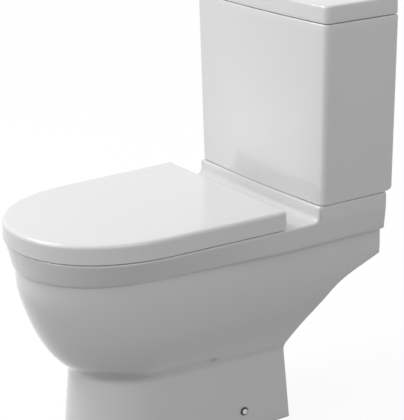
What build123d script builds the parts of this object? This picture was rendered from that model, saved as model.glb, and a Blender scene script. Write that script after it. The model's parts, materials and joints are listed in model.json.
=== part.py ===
from build123d import *
import math
import os

os.makedirs("parts", exist_ok=True)

# Driving dimensions, in millimetres. X is to the right seen from the front, the front faces -Y, Z is up.
overall_depth = 658.0
overrun = 5.0
seat_gap = 0.3
running_gap = 0.05
china_wall = 12.0
wall_y = overall_depth / 2


def ahead(distance):
    """Give the y of a place that lies so far in front of the wall."""
    return wall_y - distance


# Pan: the plan outline of the rim
rim_height = 400.0
pan_rear = 13.4
pan_half_width = 184.9
rim_half_width = pan_half_width - 5.7
rim_mid = 454.0
rim_nose = 655.5
shoulder_ahead = 235.0
nose_power = 2.13
band_height = 44.0
band_rear_inset = 5.0
band_mid_inset = 20.0
band_nose_inset = 8.0

# Pan: the raised platform for the cistern
platform_height = rim_height + 27
riser_ahead = 165.0
riser_foot_radius = 12.0
platform_edge_radius = 4.0

# Pan: the bowl body under the band, from the crease up to the band
crease_height = 148.5
crease_slope = 0.037
body_step = 4.0
body_level_shares = (0.18, 0.375, 0.6, 0.8)
body_rear_half_widths = tuple(pan_half_width * share for share in (0.692, 0.817, 0.892, 0.919))
body_mid_half_widths = tuple(pan_half_width * share for share in (0.676, 0.763, 0.814, 0.838))
body_noses = (589.5, 613.0, 631.5, 643.0)
body_mid = 446.0
body_power = 2.05
body_top_rear_half = pan_half_width - 14.9

# Pan: the pedestal
pedestal_power = 2.0
crease_half_width = 103.0
crease_nose = 557.5
pedestal_nose_length = 120.0
foot_half_width = 106.0
foot_nose = 574.5
foot_rear = 170.0
crease_rear = 181.0
crease_rear_height = 146.0
slant_top_height = rim_height - 92
slant_aheads = (84.0, 130.0, 160.0)
slant_heights = tuple(
    crease_rear_height + (slant_top_height - crease_rear_height) * share
    for share in (0.802, 0.543, 0.29)
)

# Pan: the trap and its horizontal outlet
trap_bore = 38.0
trap_wall = 9.0
trap_bend = 52.0
outlet_height = 180.0
outlet_ahead = 125.0
outlet_radius = 51.0
outlet_length = 50.0
sump_ahead = 440.0
sump_height = outlet_height + 20
dip_height = outlet_height - 6
weir_height = outlet_height + 16

# Pan: the bowl inside and the flushing rim
opening_half_width = rim_half_width - 59.2
opening_rear = 300.0
opening_mid = 452.0
opening_nose = 610.0
lip_thickness = 8.0
rim_channel_width = 15.0
rim_channel_top = rim_height - 16
rim_underside = rim_height - 48
bowl_power = 2.2
bowl_wall = 10.0
bowl_level_heights = tuple(
    sump_height + (rim_underside - sump_height) * share for share in (0.658, 0.329, 0, -0.23)
)
bowl_level_halves = (opening_half_width + 8, opening_half_width - 20, 66.0, 44.0)
bowl_level_rears = (328.0, 368.0, 390.0, 396.0)
bowl_level_noses = (607.0, 568.0, 516.0, 484.0)

# Pan: the flush inlet, its duct to the rim, and the fixing holes
deck_thickness = 14.0
valve_ahead = 85.0
inlet_recess_radius = 50.0
inlet_recess_depth = 20.0
inlet_hole_radius = 34.0
inlet_boss_radius = 58.0
duct_half_width = 35.0
duct_floor = rim_height - 38
duct_ceiling = rim_height - deck_thickness
duct_end = 288.0
duct_wall = 10.0
duct_back = 40.0
bolt_radius = 4.0
bolt_hole_radius = 6.5
supply_half_spacing = pan_half_width - 50.9
supply_hole_radius = 24.0
side_fixing_ahead = 272.0
side_fixing_height = 40.0
side_fixing_radius = 7.0

# Cistern
cistern_gap = 2.0
cistern_foot = platform_height + cistern_gap
cistern_top = cistern_foot + 316.7
cistern_top_half = pan_half_width + 9.7
cistern_foot_half = pan_half_width + 1.5
cistern_depth = 159.0
cistern_bow = 7.0
cistern_front_radius = 11.0
cistern_rear_radius = 8.0
cistern_back_cut = 0.5
cistern_wall = 10.0
cistern_floor = 12.0
cistern_heel_radius = 17.0
cistern_edge_radius = 2.5
cistern_inner_radius = 9.0
spud_hole_radius = 31.0
tail_hole_radius = 11.5
wall_hole_half_spacing = 100.0
wall_hole_height = cistern_top - 45.7
wall_hole_radius = 4.0

# Cistern lid
lid_slab_height = 31.3
lid_slab_top = 11.0
lid_slab_edge = 4.0
lid_lip_depth = 9.0
lid_lip_width = 6.0
lid_lip_gap = 3.0
lid_slab_inset = 0.6
lid_slab_foot_edge = 1.5
button_hole_radius = 26.0

# Button unit in the cistern lid
bezel_radius = 31.0
bezel_thickness = 2.0
sleeve_radius = 25.5
sleeve_wall = 2.0
sleeve_depth = 25.0
clamp_nut_radius = 33.0
clamp_nut_height = 9.0
button_radius = 23.3
button_height = 10.0
button_split = 4.5
button_half_gap = 0.35
button_edge = 1.0
button_boss_radius = 4.5
button_boss_height = 6.0
rod_radius = 2.5
rod_side = 14.0
lane = 6.5

# Flush valve, counted up from the floor of the cistern
spud_radius = 29.0
spud_bore = 25.0
spud_tail = 41.0
seal_thickness = 3.0
valve_flange_radius = 38.0
valve_flange_thickness = 4.0
valve_seat_height = 4.0
valve_seat_width = 3.0
backnut_radius = 40.0
backnut_height = 9.7
gasket_radius = 46.0
gasket_chamfer = 4.0
housing_radius = 34.0
housing_wall = 3.0
housing_height = 271.0
housing_cap = 3.0
window_foot = 10.0
window_height = 62.0
window_width = 34.0
upper_window_foot = 95.0
upper_window_height = 60.0
rod_hole_radius = 4.0
tube_radius = 13.0
tube_wall = 2.0
tube_top = 204.0
tube_flange_radius = 27.0
tube_flange_thickness = 3.0
seat_seal_radius = 30.0
seat_seal_thickness = 3.0
collar_height = 184.5
collar_thickness = 4.5
collar_radius = 20.0
yoke_radius = 28.0
yoke_gap = 0.4
prong_thickness = 2.4
lane_width = 5.0
rocker_height = 243.0
rocker_thickness = 6.0
rocker_push_arm = 14.0
rocker_lift_arm = 22.0
rocker_pin_radius = 2.0
hook_gap = 0.5
hook_thickness = 3.0
hook_reach = 9.0
cheek_gap = 2.0
cheek_thickness = 3.0
cheek_half_width = 5.0
cheek_drop = 5.0

# Fill valve and the plug of the spare inlet
tail_radius = 10.48
tail_shank_radius = 10.9
tail_bore = 6.0
tail_drop = 49.0
tail_flange_radius = 18.0
tail_flange_thickness = 5.0
tail_nut_radius = 17.0
riser_radius = 11.0
riser_height = 199.0
stop_height = 106.0
stop_radius = 16.0
stop_thickness = 4.7
float_radius = 30.0
float_bore = 12.5
float_wall = 1.8
float_height = 60.0
float_travel = 16.0
head_radius = 16.0
head_height = 22.0
lever_pivot_side = 16.0
lever_pivot_rise = 11.0
lever_length = 42.0
lever_width = 8.0
lever_thickness = 5.0
lever_pin_radius = 2.0
ear_thickness = 3.0
ear_gap = 0.5
ear_radius = 5.0
float_rod_radius = 1.5
float_rod_top = 20.0
float_clip_radius = 4.0
float_clip_height = 3.0
float_clip_gap = 1.0
lever_slot_half = 3.4
lever_slot_radius = 2.0
drop_tube_radius = 7.0
drop_tube_bore = 5.0
drop_tube_reach = 40.0
drop_tube_bend = 12.0
drop_tube_foot = 30.0
plug_flange_thickness = 3.0
plug_tail = 26.0

# Fixings between the cistern and the pan
bolt_head_radius = 8.0
bolt_head_height = 5.0
bolt_tail = 17.0
rubber_washer_radius = 14.0
steel_washer_radius = 11.0
bolt_room = supply_half_spacing - tail_flange_radius - inlet_boss_radius
bolt_room -= rubber_washer_radius + steel_washer_radius
bolt_half_spacing = inlet_boss_radius + steel_washer_radius + 0.23 * bolt_room
steel_washer_thickness = 1.5
wing_hub_radius = 8.0
wing_height = 9.0
wing_span = 17.0
wing_thickness = 3.0

# Fixings between the pan and the floor
bracket_thickness = 3.0
bracket_height = 60.0
bracket_reach = 42.0
bracket_width = 40.0
bracket_hole_radius = 4.0
bracket_hole_side = 66.0
sleeve_flange_radius = 8.0
sleeve_flange_thickness = 2.0
sleeve_barrel_radius = 6.8
screw_head_radius = 5.0
screw_head_height = 2.2
screw_radius = 3.0
screw_length = 26.0
screw_slot_width = 1.2
screw_slot_depth = 1.0

# Hinge of the seat and its cover
hinge_ahead = 246.0
hinge_height = rim_height + 20
hinge_half_spacing = 77.5
hinge_hole_radius = 6.0
barrel_radius = 8.0
pin_radius = 4.0
post_width = 19.0
lug_width = 13.5
lug_gap = 0.4
post_base_radius = 14.0
post_base_thickness = 2.0
hinge_gasket_thickness = 1.2
hinge_bolt_radius = 4.0
hinge_nut_radius = 14.0
hinge_nut_height = 12.0
hinge_bolt_tail = 22.0

# Seat ring and cover
cover_top = rim_height + 36.3
cover_foot = rim_height + 1
cover_rear = 232.0
cover_rear_half = pan_half_width + 1.1
cover_nose = 658.0
cover_plate = 5.0
cover_skirt = 4.0
cover_corner_radius = 8.0
cover_edge_radius = 7.0
cover_rear_opening = 118.0
cover_swing_radius = 19.0
ring_foot = rim_height + 5
ring_thickness = 18.0
ring_side_gap = 2.0
ring_rear = hinge_ahead + cover_swing_radius + 3
ring_hole_half = opening_half_width - 12
ring_hole_rear = 318.0
ring_hole_mid = 440.0
ring_hole_nose = 592.0
ring_edge_radius = 5.0
buffer_radius = 8.0
ring_buffer_half = rim_half_width - 41.2
ring_buffer_rear = 330.0
ring_buffer_front = 520.0
cover_buffer_half = rim_half_width - 51.2
cover_buffer_rear = 345.0
cover_buffer_front = 540.0


def plan_outline(
    height, rear, mid, nose, half_rear, half_mid, power, plane=None, corner=0, shoulder=None
):
    """Draw a closed plan outline: a rear edge, two long sides and a rounded nose.

    Args:
        height: height of the sketch plane.
        rear, mid, nose: distances from the wall of the rear edge, the start of the nose and its tip.
        half_rear, half_mid: half widths at the rear edge and at the start of the nose.
        power: exponent of the superellipse that rounds the nose.
        plane: plane to draw on in place of the level one at the height.
        corner: radius of the two rear corners, or zero.
        shoulder: distance from the wall up to which the sides stay parallel, or nothing.

    Returns:
        The sketch.
    """
    turns = [math.pi / 2 * step / 6 for step in range(7)]
    nose_points = [
        (
            half_mid * math.cos(turn) ** (2 / power) if turn < math.pi / 2 else 0,
            ahead(mid + (nose - mid) * math.sin(turn) ** (2 / power)),
        )
        for turn in turns
    ]
    with BuildSketch(plane or Plane.XY.offset(height)) as section:
        with BuildLine():
            if shoulder:
                Line((half_rear, ahead(rear)), (half_rear, ahead(shoulder)))
            side = Line((half_rear, ahead(shoulder or rear)), (half_mid, ahead(mid)))
            Spline(nose_points, tangents=(side % 1, (-1, 0)))
            mirror(about=Plane.YZ)
            Line((-half_rear, ahead(rear)), (half_rear, ahead(rear)))
        make_face()
        if corner:
            fillet(section.vertices().group_by(Axis.Y)[-1], corner)
    return section.sketch


def oval_outline(height, rear, mid, nose, half, power):
    """Draw a closed oval whose widest place lies nearer one end.

    Args:
        height: height of the sketch plane.
        rear, mid, nose: distances from the wall of the rear end, the widest place and the nose.
        half: half width at the widest place.
        power: exponent of the superellipse.

    Returns:
        The sketch.
    """
    turns = [math.pi / 2 * step / 5 for step in range(6)]
    sides = [half * math.cos(turn) ** (2 / power) if turn < math.pi / 2 else 0 for turn in turns]
    fronts = [ahead(mid + (nose - mid) * math.sin(turn) ** (2 / power)) for turn in turns]
    backs = [ahead(mid - (mid - rear) * math.sin(turn) ** (2 / power)) for turn in turns]
    with BuildSketch(Plane.XY.offset(height)) as section:
        with BuildLine():
            Spline(list(zip(sides, fronts)), tangents=((0, -1), (-1, 0)))
            Spline(list(zip(sides, backs)), tangents=((0, 1), (-1, 0)))
            mirror(about=Plane.YZ)
        make_face()
    return section.sketch


def body_sections(inset, rear):
    """List the level outlines of the bowl body from the crease to the band, drawn in by the inset."""
    crease_plane = Plane(origin=(0, 0, crease_height), x_dir=(1, 0, 0), z_dir=(0, crease_slope, 1))
    top = rim_height - band_height
    sections = [
        plan_outline(
            crease_height,
            rear,
            crease_nose - pedestal_nose_length,
            crease_nose - inset,
            crease_half_width - inset,
            crease_half_width - inset,
            pedestal_power,
            plane=crease_plane,
        )
    ]
    levels = zip(body_level_shares, body_rear_half_widths, body_mid_half_widths, body_noses)
    for share, rear_half, mid_half, nose in levels:
        height = crease_height + (top - crease_height) * share
        sections.append(
            plan_outline(
                height, rear, body_mid, nose - inset, rear_half - inset, mid_half - inset, body_power
            )
        )
    sections.append(
        plan_outline(
            top,
            rear,
            rim_mid,
            rim_nose - band_nose_inset - body_step - inset,
            body_top_rear_half - inset,
            rim_half_width - band_mid_inset - body_step - inset,
            nose_power,
        )
    )
    return sections


def pedestal_sections(inset, rear, foot):
    """List the foot and crease outlines of the pedestal, drawn in by the inset."""
    return [
        plan_outline(
            foot,
            rear,
            foot_nose - pedestal_nose_length,
            foot_nose - inset,
            foot_half_width - inset,
            foot_half_width - inset,
            pedestal_power,
        ),
        body_sections(inset, rear)[0],
    ]


def bowl_sections(outset):
    """List the level ovals of the bowl's inside, let out by the outset."""
    reach = lip_thickness + rim_channel_width + outset
    sections = [
        oval_outline(
            rim_underside,
            opening_rear - reach,
            opening_mid,
            opening_nose + reach,
            opening_half_width + reach,
            bowl_power,
        )
    ]
    levels = zip(bowl_level_heights, bowl_level_rears, bowl_level_noses, bowl_level_halves)
    for height, rear, nose, half in levels:
        sections.append(
            oval_outline(
                height - outset / 2,
                rear - outset,
                (rear + nose) / 2,
                nose + outset,
                half + outset,
                bowl_power if height > sump_height else 2,
            )
        )
    return sections


def trap_path():
    """Draw the trap's centre line: down, under the dip, up over the weir and level to the outlet."""
    crest = weir_height + trap_bend
    fall = math.degrees(math.acos(1 - (crest - outlet_height) / (2 * trap_bend)))
    with BuildLine(Plane.YZ) as path:
        drop = Line((ahead(sump_ahead), sump_height), (ahead(sump_ahead), dip_height))
        dip = JernArc(start=drop @ 1, tangent=drop % 1, radius=trap_bend, arc_size=180)
        rise = Line(dip @ 1, (ahead(sump_ahead - 2 * trap_bend), weir_height))
        over = JernArc(start=rise @ 1, tangent=rise % 1, radius=trap_bend, arc_size=-90 - fall)
        level = JernArc(start=over @ 1, tangent=over % 1, radius=trap_bend, arc_size=fall)
        Line(level @ 1, (ahead(outlet_ahead), outlet_height))
    return path.wire()


# Pan
with BuildPart() as bowl_shell:
    loft(sections=bowl_sections(bowl_wall))
    with BuildSketch(Plane.XY.offset(sump_height)) as trap_top:
        with Locations((0, ahead(sump_ahead))):
            Circle(trap_bore + trap_wall)
    sweep(sections=trap_top.sketch, path=trap_path())
    with BuildSketch(Plane.XY.offset(duct_floor - duct_wall)):
        with Locations((0, ahead(valve_ahead))):
            Circle(inlet_boss_radius)
    extrude(amount=platform_height - duct_floor)
    with BuildSketch(Plane.XY.offset(duct_floor - duct_wall)):
        with Locations((0, ahead((duct_back + opening_rear) / 2))):
            Rectangle(2 * (duct_half_width + duct_wall), opening_rear - duct_back)
    extrude(amount=duct_ceiling - duct_floor + 2 * duct_wall)

with BuildPart() as pan_cavity:
    loft(sections=pedestal_sections(china_wall, -overrun, -overrun), ruled=True)
    loft(sections=body_sections(china_wall, -overrun))
    with BuildSketch(Plane.XY.offset(rim_height - band_height - overrun)):
        with Locations((0, ahead((opening_rear - overrun) / 2))):
            Rectangle(2 * (body_top_rear_half - china_wall), opening_rear + overrun)
    extrude(amount=band_height + overrun - deck_thickness)
    with BuildSketch(Plane.XY.offset(rim_height - deck_thickness - overrun)):
        with Locations((0, ahead((riser_ahead - deck_thickness - overrun) / 2))):
            Rectangle(2 * (body_top_rear_half - china_wall), riser_ahead - deck_thickness + overrun)
    extrude(amount=platform_height - rim_height + overrun)
    add(bowl_shell.part, mode=Mode.SUBTRACT)

with BuildPart() as pan:
    loft(sections=pedestal_sections(0, -overrun, 0), ruled=True)
    loft(sections=body_sections(0, -overrun))
    rim_outline = plan_outline(
        rim_height,
        pan_rear,
        rim_mid,
        rim_nose,
        pan_half_width,
        rim_half_width,
        nose_power,
        shoulder=shoulder_ahead,
    )
    band_outline = plan_outline(
        rim_height - band_height,
        pan_rear,
        rim_mid,
        rim_nose - band_nose_inset,
        pan_half_width - band_rear_inset,
        rim_half_width - band_mid_inset,
        nose_power,
        shoulder=shoulder_ahead,
    )
    loft(sections=[band_outline, rim_outline], ruled=True)
    extrude(to_extrude=rim_outline, amount=platform_height - rim_height)
    with BuildSketch(Plane.YZ.offset(-pan_half_width - overrun)) as riser_profile:
        with BuildLine():
            Polyline(
                (ahead(riser_ahead - 2 * platform_edge_radius), platform_height + overrun),
                (ahead(riser_ahead - 2 * platform_edge_radius), platform_height),
                (ahead(riser_ahead), platform_height),
                (ahead(riser_ahead), rim_height),
                (ahead(rim_nose + overrun), rim_height),
                (ahead(rim_nose + overrun), platform_height + overrun),
                close=True,
            )
        make_face()
        riser_vertices = riser_profile.vertices().filter_by_position(
            Axis.X, ahead(riser_ahead) - seat_gap, ahead(riser_ahead) + seat_gap
        )
        fillet(riser_vertices.sort_by(Axis.Y)[0], riser_foot_radius)
        fillet(riser_vertices.sort_by(Axis.Y)[-1], platform_edge_radius)
    extrude(amount=2 * (pan_half_width + overrun), mode=Mode.SUBTRACT)
    with BuildSketch(Plane.YZ.offset(-pan_half_width - overrun)):
        with BuildLine():
            slant_points = [(ahead(pan_rear), slant_top_height)]
            slant_points += [(ahead(back), height) for back, height in zip(slant_aheads, slant_heights)]
            slant_points += [(ahead(crease_rear), crease_rear_height)]
            Spline(slant_points)
            Polyline(
                slant_points[-1],
                (ahead(foot_rear), 0),
                (ahead(foot_rear), -overrun),
                (wall_y + 2 * overrun, -overrun),
                (wall_y + 2 * overrun, platform_height + overrun),
                (ahead(pan_rear), platform_height + overrun),
                slant_points[0],
            )
        make_face()
    extrude(amount=2 * (pan_half_width + overrun), mode=Mode.SUBTRACT)
    add(pan_cavity.part, mode=Mode.SUBTRACT)

    # The outlet's spigot, then everything that water runs through
    with BuildSketch(Plane.XZ.offset(-ahead(outlet_ahead))):
        with Locations((0, outlet_height)):
            Circle(outlet_radius)
    extrude(amount=outlet_length)
    loft(sections=bowl_sections(0), mode=Mode.SUBTRACT)
    opening = oval_outline(
        rim_underside, opening_rear, opening_mid, opening_nose, opening_half_width, bowl_power
    )
    extrude(to_extrude=opening, amount=platform_height - rim_underside, mode=Mode.SUBTRACT)
    with BuildSketch(Plane.XY.offset(rim_underside - overrun)):
        add(
            oval_outline(
                0,
                opening_rear - lip_thickness - rim_channel_width,
                opening_mid,
                opening_nose + lip_thickness + rim_channel_width,
                opening_half_width + lip_thickness + rim_channel_width,
                bowl_power,
            )
        )
        add(
            oval_outline(
                0,
                opening_rear - lip_thickness,
                opening_mid,
                opening_nose + lip_thickness,
                opening_half_width + lip_thickness,
                bowl_power,
            ),
            mode=Mode.SUBTRACT,
        )
    extrude(amount=rim_channel_top - rim_underside + overrun, mode=Mode.SUBTRACT)
    with BuildSketch(Plane.XY.offset(sump_height)) as trap_mouth:
        with Locations((0, ahead(sump_ahead))):
            Circle(trap_bore)
    sweep(sections=trap_mouth.sketch, path=trap_path(), mode=Mode.SUBTRACT)
    with BuildSketch(Plane.XY.offset(duct_floor)):
        with Locations((0, ahead((valve_ahead + duct_end) / 2))):
            Rectangle(2 * duct_half_width, duct_end - valve_ahead)
    extrude(amount=duct_ceiling - duct_floor, mode=Mode.SUBTRACT)
    with BuildSketch(Plane.XY.offset(duct_floor)):
        with Locations((0, ahead(valve_ahead))):
            Circle(inlet_hole_radius)
    extrude(amount=platform_height - duct_floor, mode=Mode.SUBTRACT)
    with BuildSketch(Plane.XY.offset(platform_height)):
        with Locations((0, ahead(valve_ahead))):
            Circle(inlet_recess_radius)
    extrude(amount=-inlet_recess_depth, mode=Mode.SUBTRACT)

    # The holes for the bolts, the supply pipes, the seat and the floor fixings
    with BuildSketch(Plane.XY.offset(platform_height)):
        with Locations(*[(side * bolt_half_spacing, ahead(valve_ahead)) for side in (-1, 1)]):
            Circle(bolt_hole_radius)
        with Locations(*[(side * supply_half_spacing, ahead(valve_ahead)) for side in (-1, 1)]):
            Circle(supply_hole_radius)
    extrude(amount=rim_height - platform_height - deck_thickness, mode=Mode.SUBTRACT)
    with BuildSketch(Plane.XY.offset(rim_height)):
        with Locations(*[(side * hinge_half_spacing, ahead(hinge_ahead)) for side in (-1, 1)]):
            Circle(hinge_hole_radius)
    extrude(amount=-deck_thickness - overrun, mode=Mode.SUBTRACT)
    with BuildSketch(Plane.YZ.offset(-pan_half_width)):
        with Locations((ahead(side_fixing_ahead), side_fixing_height)):
            Circle(side_fixing_radius)
    extrude(amount=2 * pan_half_width, mode=Mode.SUBTRACT)
pan.part.label = "pan"
export_step(pan.part, "parts/pan.step")


# Cistern
def cistern_half(height):
    """Give the half width of the tapering cistern at a height."""
    share = (height - cistern_foot) / (cistern_top - cistern_foot)
    return cistern_foot_half + (cistern_top_half - cistern_foot_half) * share


def cistern_outline(height, half, inset, front_radius, rear_radius, back=0):
    """Draw the cistern's plan: straight sides, a bowed front and rounded corners.

    Args:
        height: height of the sketch plane.
        half: half width of the outside there.
        inset: how far the outline is drawn in from the outside.
        front_radius, rear_radius: radii of the corners.
        back: how far the rear line lies behind its place, to be cut flat later.

    Returns:
        The sketch.
    """
    side = half - inset
    with BuildSketch(Plane.XY.offset(height)) as section:
        with BuildLine():
            bow = ThreePointArc(
                (-side, ahead(cistern_depth - inset)),
                (0, ahead(cistern_depth + cistern_bow - inset)),
                (side, ahead(cistern_depth - inset)),
            )
            Polyline(bow @ 1, (side, ahead(inset - back)), (-side, ahead(inset - back)), bow @ 0)
        make_face()
        fillet(section.vertices().group_by(Axis.Y)[0], front_radius)
        fillet(section.vertices().group_by(Axis.Y)[-1], rear_radius)
    return section.sketch


cistern_base = cistern_foot + cistern_floor
with BuildPart() as cistern:
    loft(
        sections=[
            cistern_outline(
                height,
                cistern_half(height),
                0,
                cistern_front_radius,
                cistern_rear_radius,
                back=cistern_back_cut,
            )
            for height in (cistern_foot, cistern_top)
        ],
        ruled=True,
    )
    fillet(cistern.edges().group_by(Axis.Z)[-1], cistern_edge_radius)
    with BuildSketch(Plane.YZ.offset(-cistern_top_half - overrun)):
        with BuildLine():
            heel = RadiusArc(
                (wall_y, cistern_foot + cistern_heel_radius),
                (wall_y - cistern_heel_radius, cistern_foot),
                cistern_heel_radius,
            )
            Polyline(
                heel @ 1,
                (wall_y - cistern_heel_radius, cistern_foot - overrun),
                (wall_y + overrun, cistern_foot - overrun),
                (wall_y + overrun, cistern_top + overrun),
                (wall_y, cistern_top + overrun),
                heel @ 0,
            )
        make_face()
    extrude(amount=2 * (cistern_top_half + overrun), mode=Mode.SUBTRACT)
    loft(
        sections=[
            cistern_outline(
                height, cistern_half(height), cistern_wall, cistern_inner_radius, cistern_inner_radius
            )
            for height in (cistern_base, cistern_top + overrun)
        ],
        ruled=True,
        mode=Mode.SUBTRACT,
    )
    with BuildSketch(Plane.XY.offset(cistern_base)):
        with Locations((0, ahead(valve_ahead))):
            Circle(spud_hole_radius)
        with Locations(*[(side * bolt_half_spacing, ahead(valve_ahead)) for side in (-1, 1)]):
            Circle(bolt_hole_radius)
        with Locations(*[(side * supply_half_spacing, ahead(valve_ahead)) for side in (-1, 1)]):
            Circle(tail_hole_radius)
    extrude(amount=-cistern_floor, mode=Mode.SUBTRACT)
    with BuildSketch(Plane.XZ.offset(-wall_y)):
        with Locations(*[(side * wall_hole_half_spacing, wall_hole_height) for side in (-1, 1)]):
            Circle(wall_hole_radius)
    extrude(amount=cistern_wall, mode=Mode.SUBTRACT)
cistern.part.label = "cistern"
export_step(cistern.part, "parts/cistern.step")


def slab_outline(height, inset):
    """Draw the cistern lid's plan, drawn in by the inset."""
    return cistern_outline(
        height,
        cistern_top_half,
        lid_slab_inset + inset,
        cistern_front_radius if inset == 0 else cistern_inner_radius,
        cistern_rear_radius if inset == 0 else cistern_inner_radius,
    )


slab_foot = cistern_top + seat_gap
slab_top = slab_foot + lid_slab_height
lip_inset = cistern_wall + lid_lip_gap
with BuildPart() as cistern_lid:
    extrude(to_extrude=slab_outline(slab_foot, 0), amount=lid_slab_height)
    fillet(cistern_lid.edges().group_by(Axis.Z)[-1], lid_slab_edge)
    fillet(cistern_lid.edges().group_by(Axis.Z)[0], lid_slab_foot_edge)
    extrude(to_extrude=slab_outline(slab_foot - lid_lip_depth, lip_inset), amount=lid_slab_height)
    extrude(
        to_extrude=slab_outline(slab_foot - lid_lip_depth, lip_inset + lid_lip_width),
        amount=lid_slab_height + lid_lip_depth - lid_slab_top,
        mode=Mode.SUBTRACT,
    )
    with BuildSketch(Plane.XY.offset(slab_top)):
        with Locations((0, ahead(valve_ahead))):
            Circle(button_hole_radius)
    extrude(amount=-lid_slab_height, mode=Mode.SUBTRACT)
cistern_lid.part.label = "cistern_lid"
export_step(cistern_lid.part, "parts/cistern_lid.step")


# Button unit of the cistern lid
def disc(height, radius, thickness, x=0.0, y=ahead(valve_ahead), bore=0.0):
    """Make a level disc or ring that rises from a height.

    Args:
        height: height of its lower face.
        radius: outer radius.
        thickness: how far it rises.
        x, y: place of its axis.
        bore: inner radius, or zero.

    Returns:
        The part.
    """
    with BuildPart() as piece:
        with BuildSketch(Plane.XY.offset(height)):
            with Locations((x, y)):
                Circle(radius)
                if bore:
                    Circle(bore, mode=Mode.SUBTRACT)
        extrude(amount=thickness)
    return piece.part


valve_y = ahead(valve_ahead)
with BuildPart() as button_bezel:
    add(disc(slab_top, bezel_radius, bezel_thickness, bore=sleeve_radius - sleeve_wall))
    fillet(button_bezel.edges().group_by(Axis.Z)[-1], bezel_thickness / 3)
    add(
        disc(
            slab_top - sleeve_depth,
            sleeve_radius,
            sleeve_depth,
            bore=sleeve_radius - sleeve_wall,
        )
    )
button_bezel.part.label = "button_bezel"
export_step(button_bezel.part, "parts/button_bezel.step")

with BuildPart() as button_clamp_nut:
    with BuildSketch(Plane.XY.offset(slab_top - lid_slab_top - clamp_nut_height)):
        with Locations((0, valve_y)):
            RegularPolygon(clamp_nut_radius, 8)
            Circle(sleeve_radius + running_gap, mode=Mode.SUBTRACT)
    extrude(amount=clamp_nut_height)
button_clamp_nut.part.label = "button_clamp_nut"
export_step(button_clamp_nut.part, "parts/button_clamp_nut.step")

rocker_top = cistern_base + rocker_height + rocker_thickness / 2
button_foot = slab_top + bezel_thickness - button_height
for name, side in (("full", -1), ("half", 1)):
    with BuildPart() as button:
        with BuildSketch(Plane.XY.offset(button_foot)):
            with Locations((0, valve_y)):
                Circle(button_radius)
            with Locations((button_split - side * (2 * button_radius - button_half_gap), valve_y)):
                Rectangle(button_radius * 4, button_radius * 4, mode=Mode.SUBTRACT)
        extrude(amount=button_height)
        fillet(button.edges().group_by(Axis.Z)[-1], button_edge)
        add(
            disc(
                button_foot - button_boss_height,
                button_boss_radius,
                button_boss_height,
                x=side * rod_side,
                y=valve_y + side * lane,
                bore=rod_radius + running_gap,
            )
        )
    button.part.label = f"{name}_button"
    export_step(button.part, f"parts/{name}_button.step")

    with BuildPart() as push_rod:
        with BuildSketch(Plane.XY.offset(rocker_top + seat_gap + rod_radius)):
            with Locations((side * rod_side, valve_y + side * lane)):
                Circle(rod_radius)
        extrude(amount=button_foot - rocker_top - 2 * seat_gap - rod_radius)
        with Locations((side * rod_side, valve_y + side * lane, rocker_top + seat_gap + rod_radius)):
            Sphere(rod_radius)
    push_rod.part.label = f"{name}_push_rod"
    export_step(push_rod.part, f"parts/{name}_push_rod.step")

# Flush valve
with BuildPart() as flush_valve_seal_ring:
    add(disc(cistern_base, valve_flange_radius, seal_thickness, bore=spud_radius + seat_gap))
flush_valve_seal_ring.part.label = "flush_valve_seal_ring"
export_step(flush_valve_seal_ring.part, "parts/flush_valve_seal_ring.step")

valve_foot = cistern_base + seal_thickness
seat_foot = valve_foot + valve_flange_thickness
with BuildPart() as flush_valve_base:
    add(disc(valve_foot, valve_flange_radius, valve_flange_thickness, bore=spud_bore))
    add(disc(cistern_base - spud_tail, spud_radius, spud_tail + seal_thickness, bore=spud_bore))
    add(disc(seat_foot, spud_bore + valve_seat_width, valve_seat_height, bore=spud_bore))
flush_valve_base.part.label = "flush_valve_base"
export_step(flush_valve_base.part, "parts/flush_valve_base.step")

nut_foot = cistern_foot - seat_gap - backnut_height
with BuildPart() as flush_valve_backnut:
    with BuildSketch(Plane.XY.offset(nut_foot)):
        with Locations((0, valve_y)):
            RegularPolygon(backnut_radius, 6)
            Circle(spud_radius + running_gap, mode=Mode.SUBTRACT)
    extrude(amount=backnut_height)
flush_valve_backnut.part.label = "flush_valve_backnut"
export_step(flush_valve_backnut.part, "parts/flush_valve_backnut.step")

recess_floor = platform_height - inlet_recess_depth
with BuildPart() as coupling_gasket:
    add(
        disc(
            recess_floor,
            gasket_radius,
            nut_foot - recess_floor - seat_gap,
            bore=spud_radius + seat_gap,
        )
    )
    chamfer(coupling_gasket.edges().group_by(Axis.Z)[0].sort_by(SortBy.LENGTH)[-1], gasket_chamfer)
coupling_gasket.part.label = "coupling_gasket"
export_step(coupling_gasket.part, "parts/coupling_gasket.step")

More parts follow.
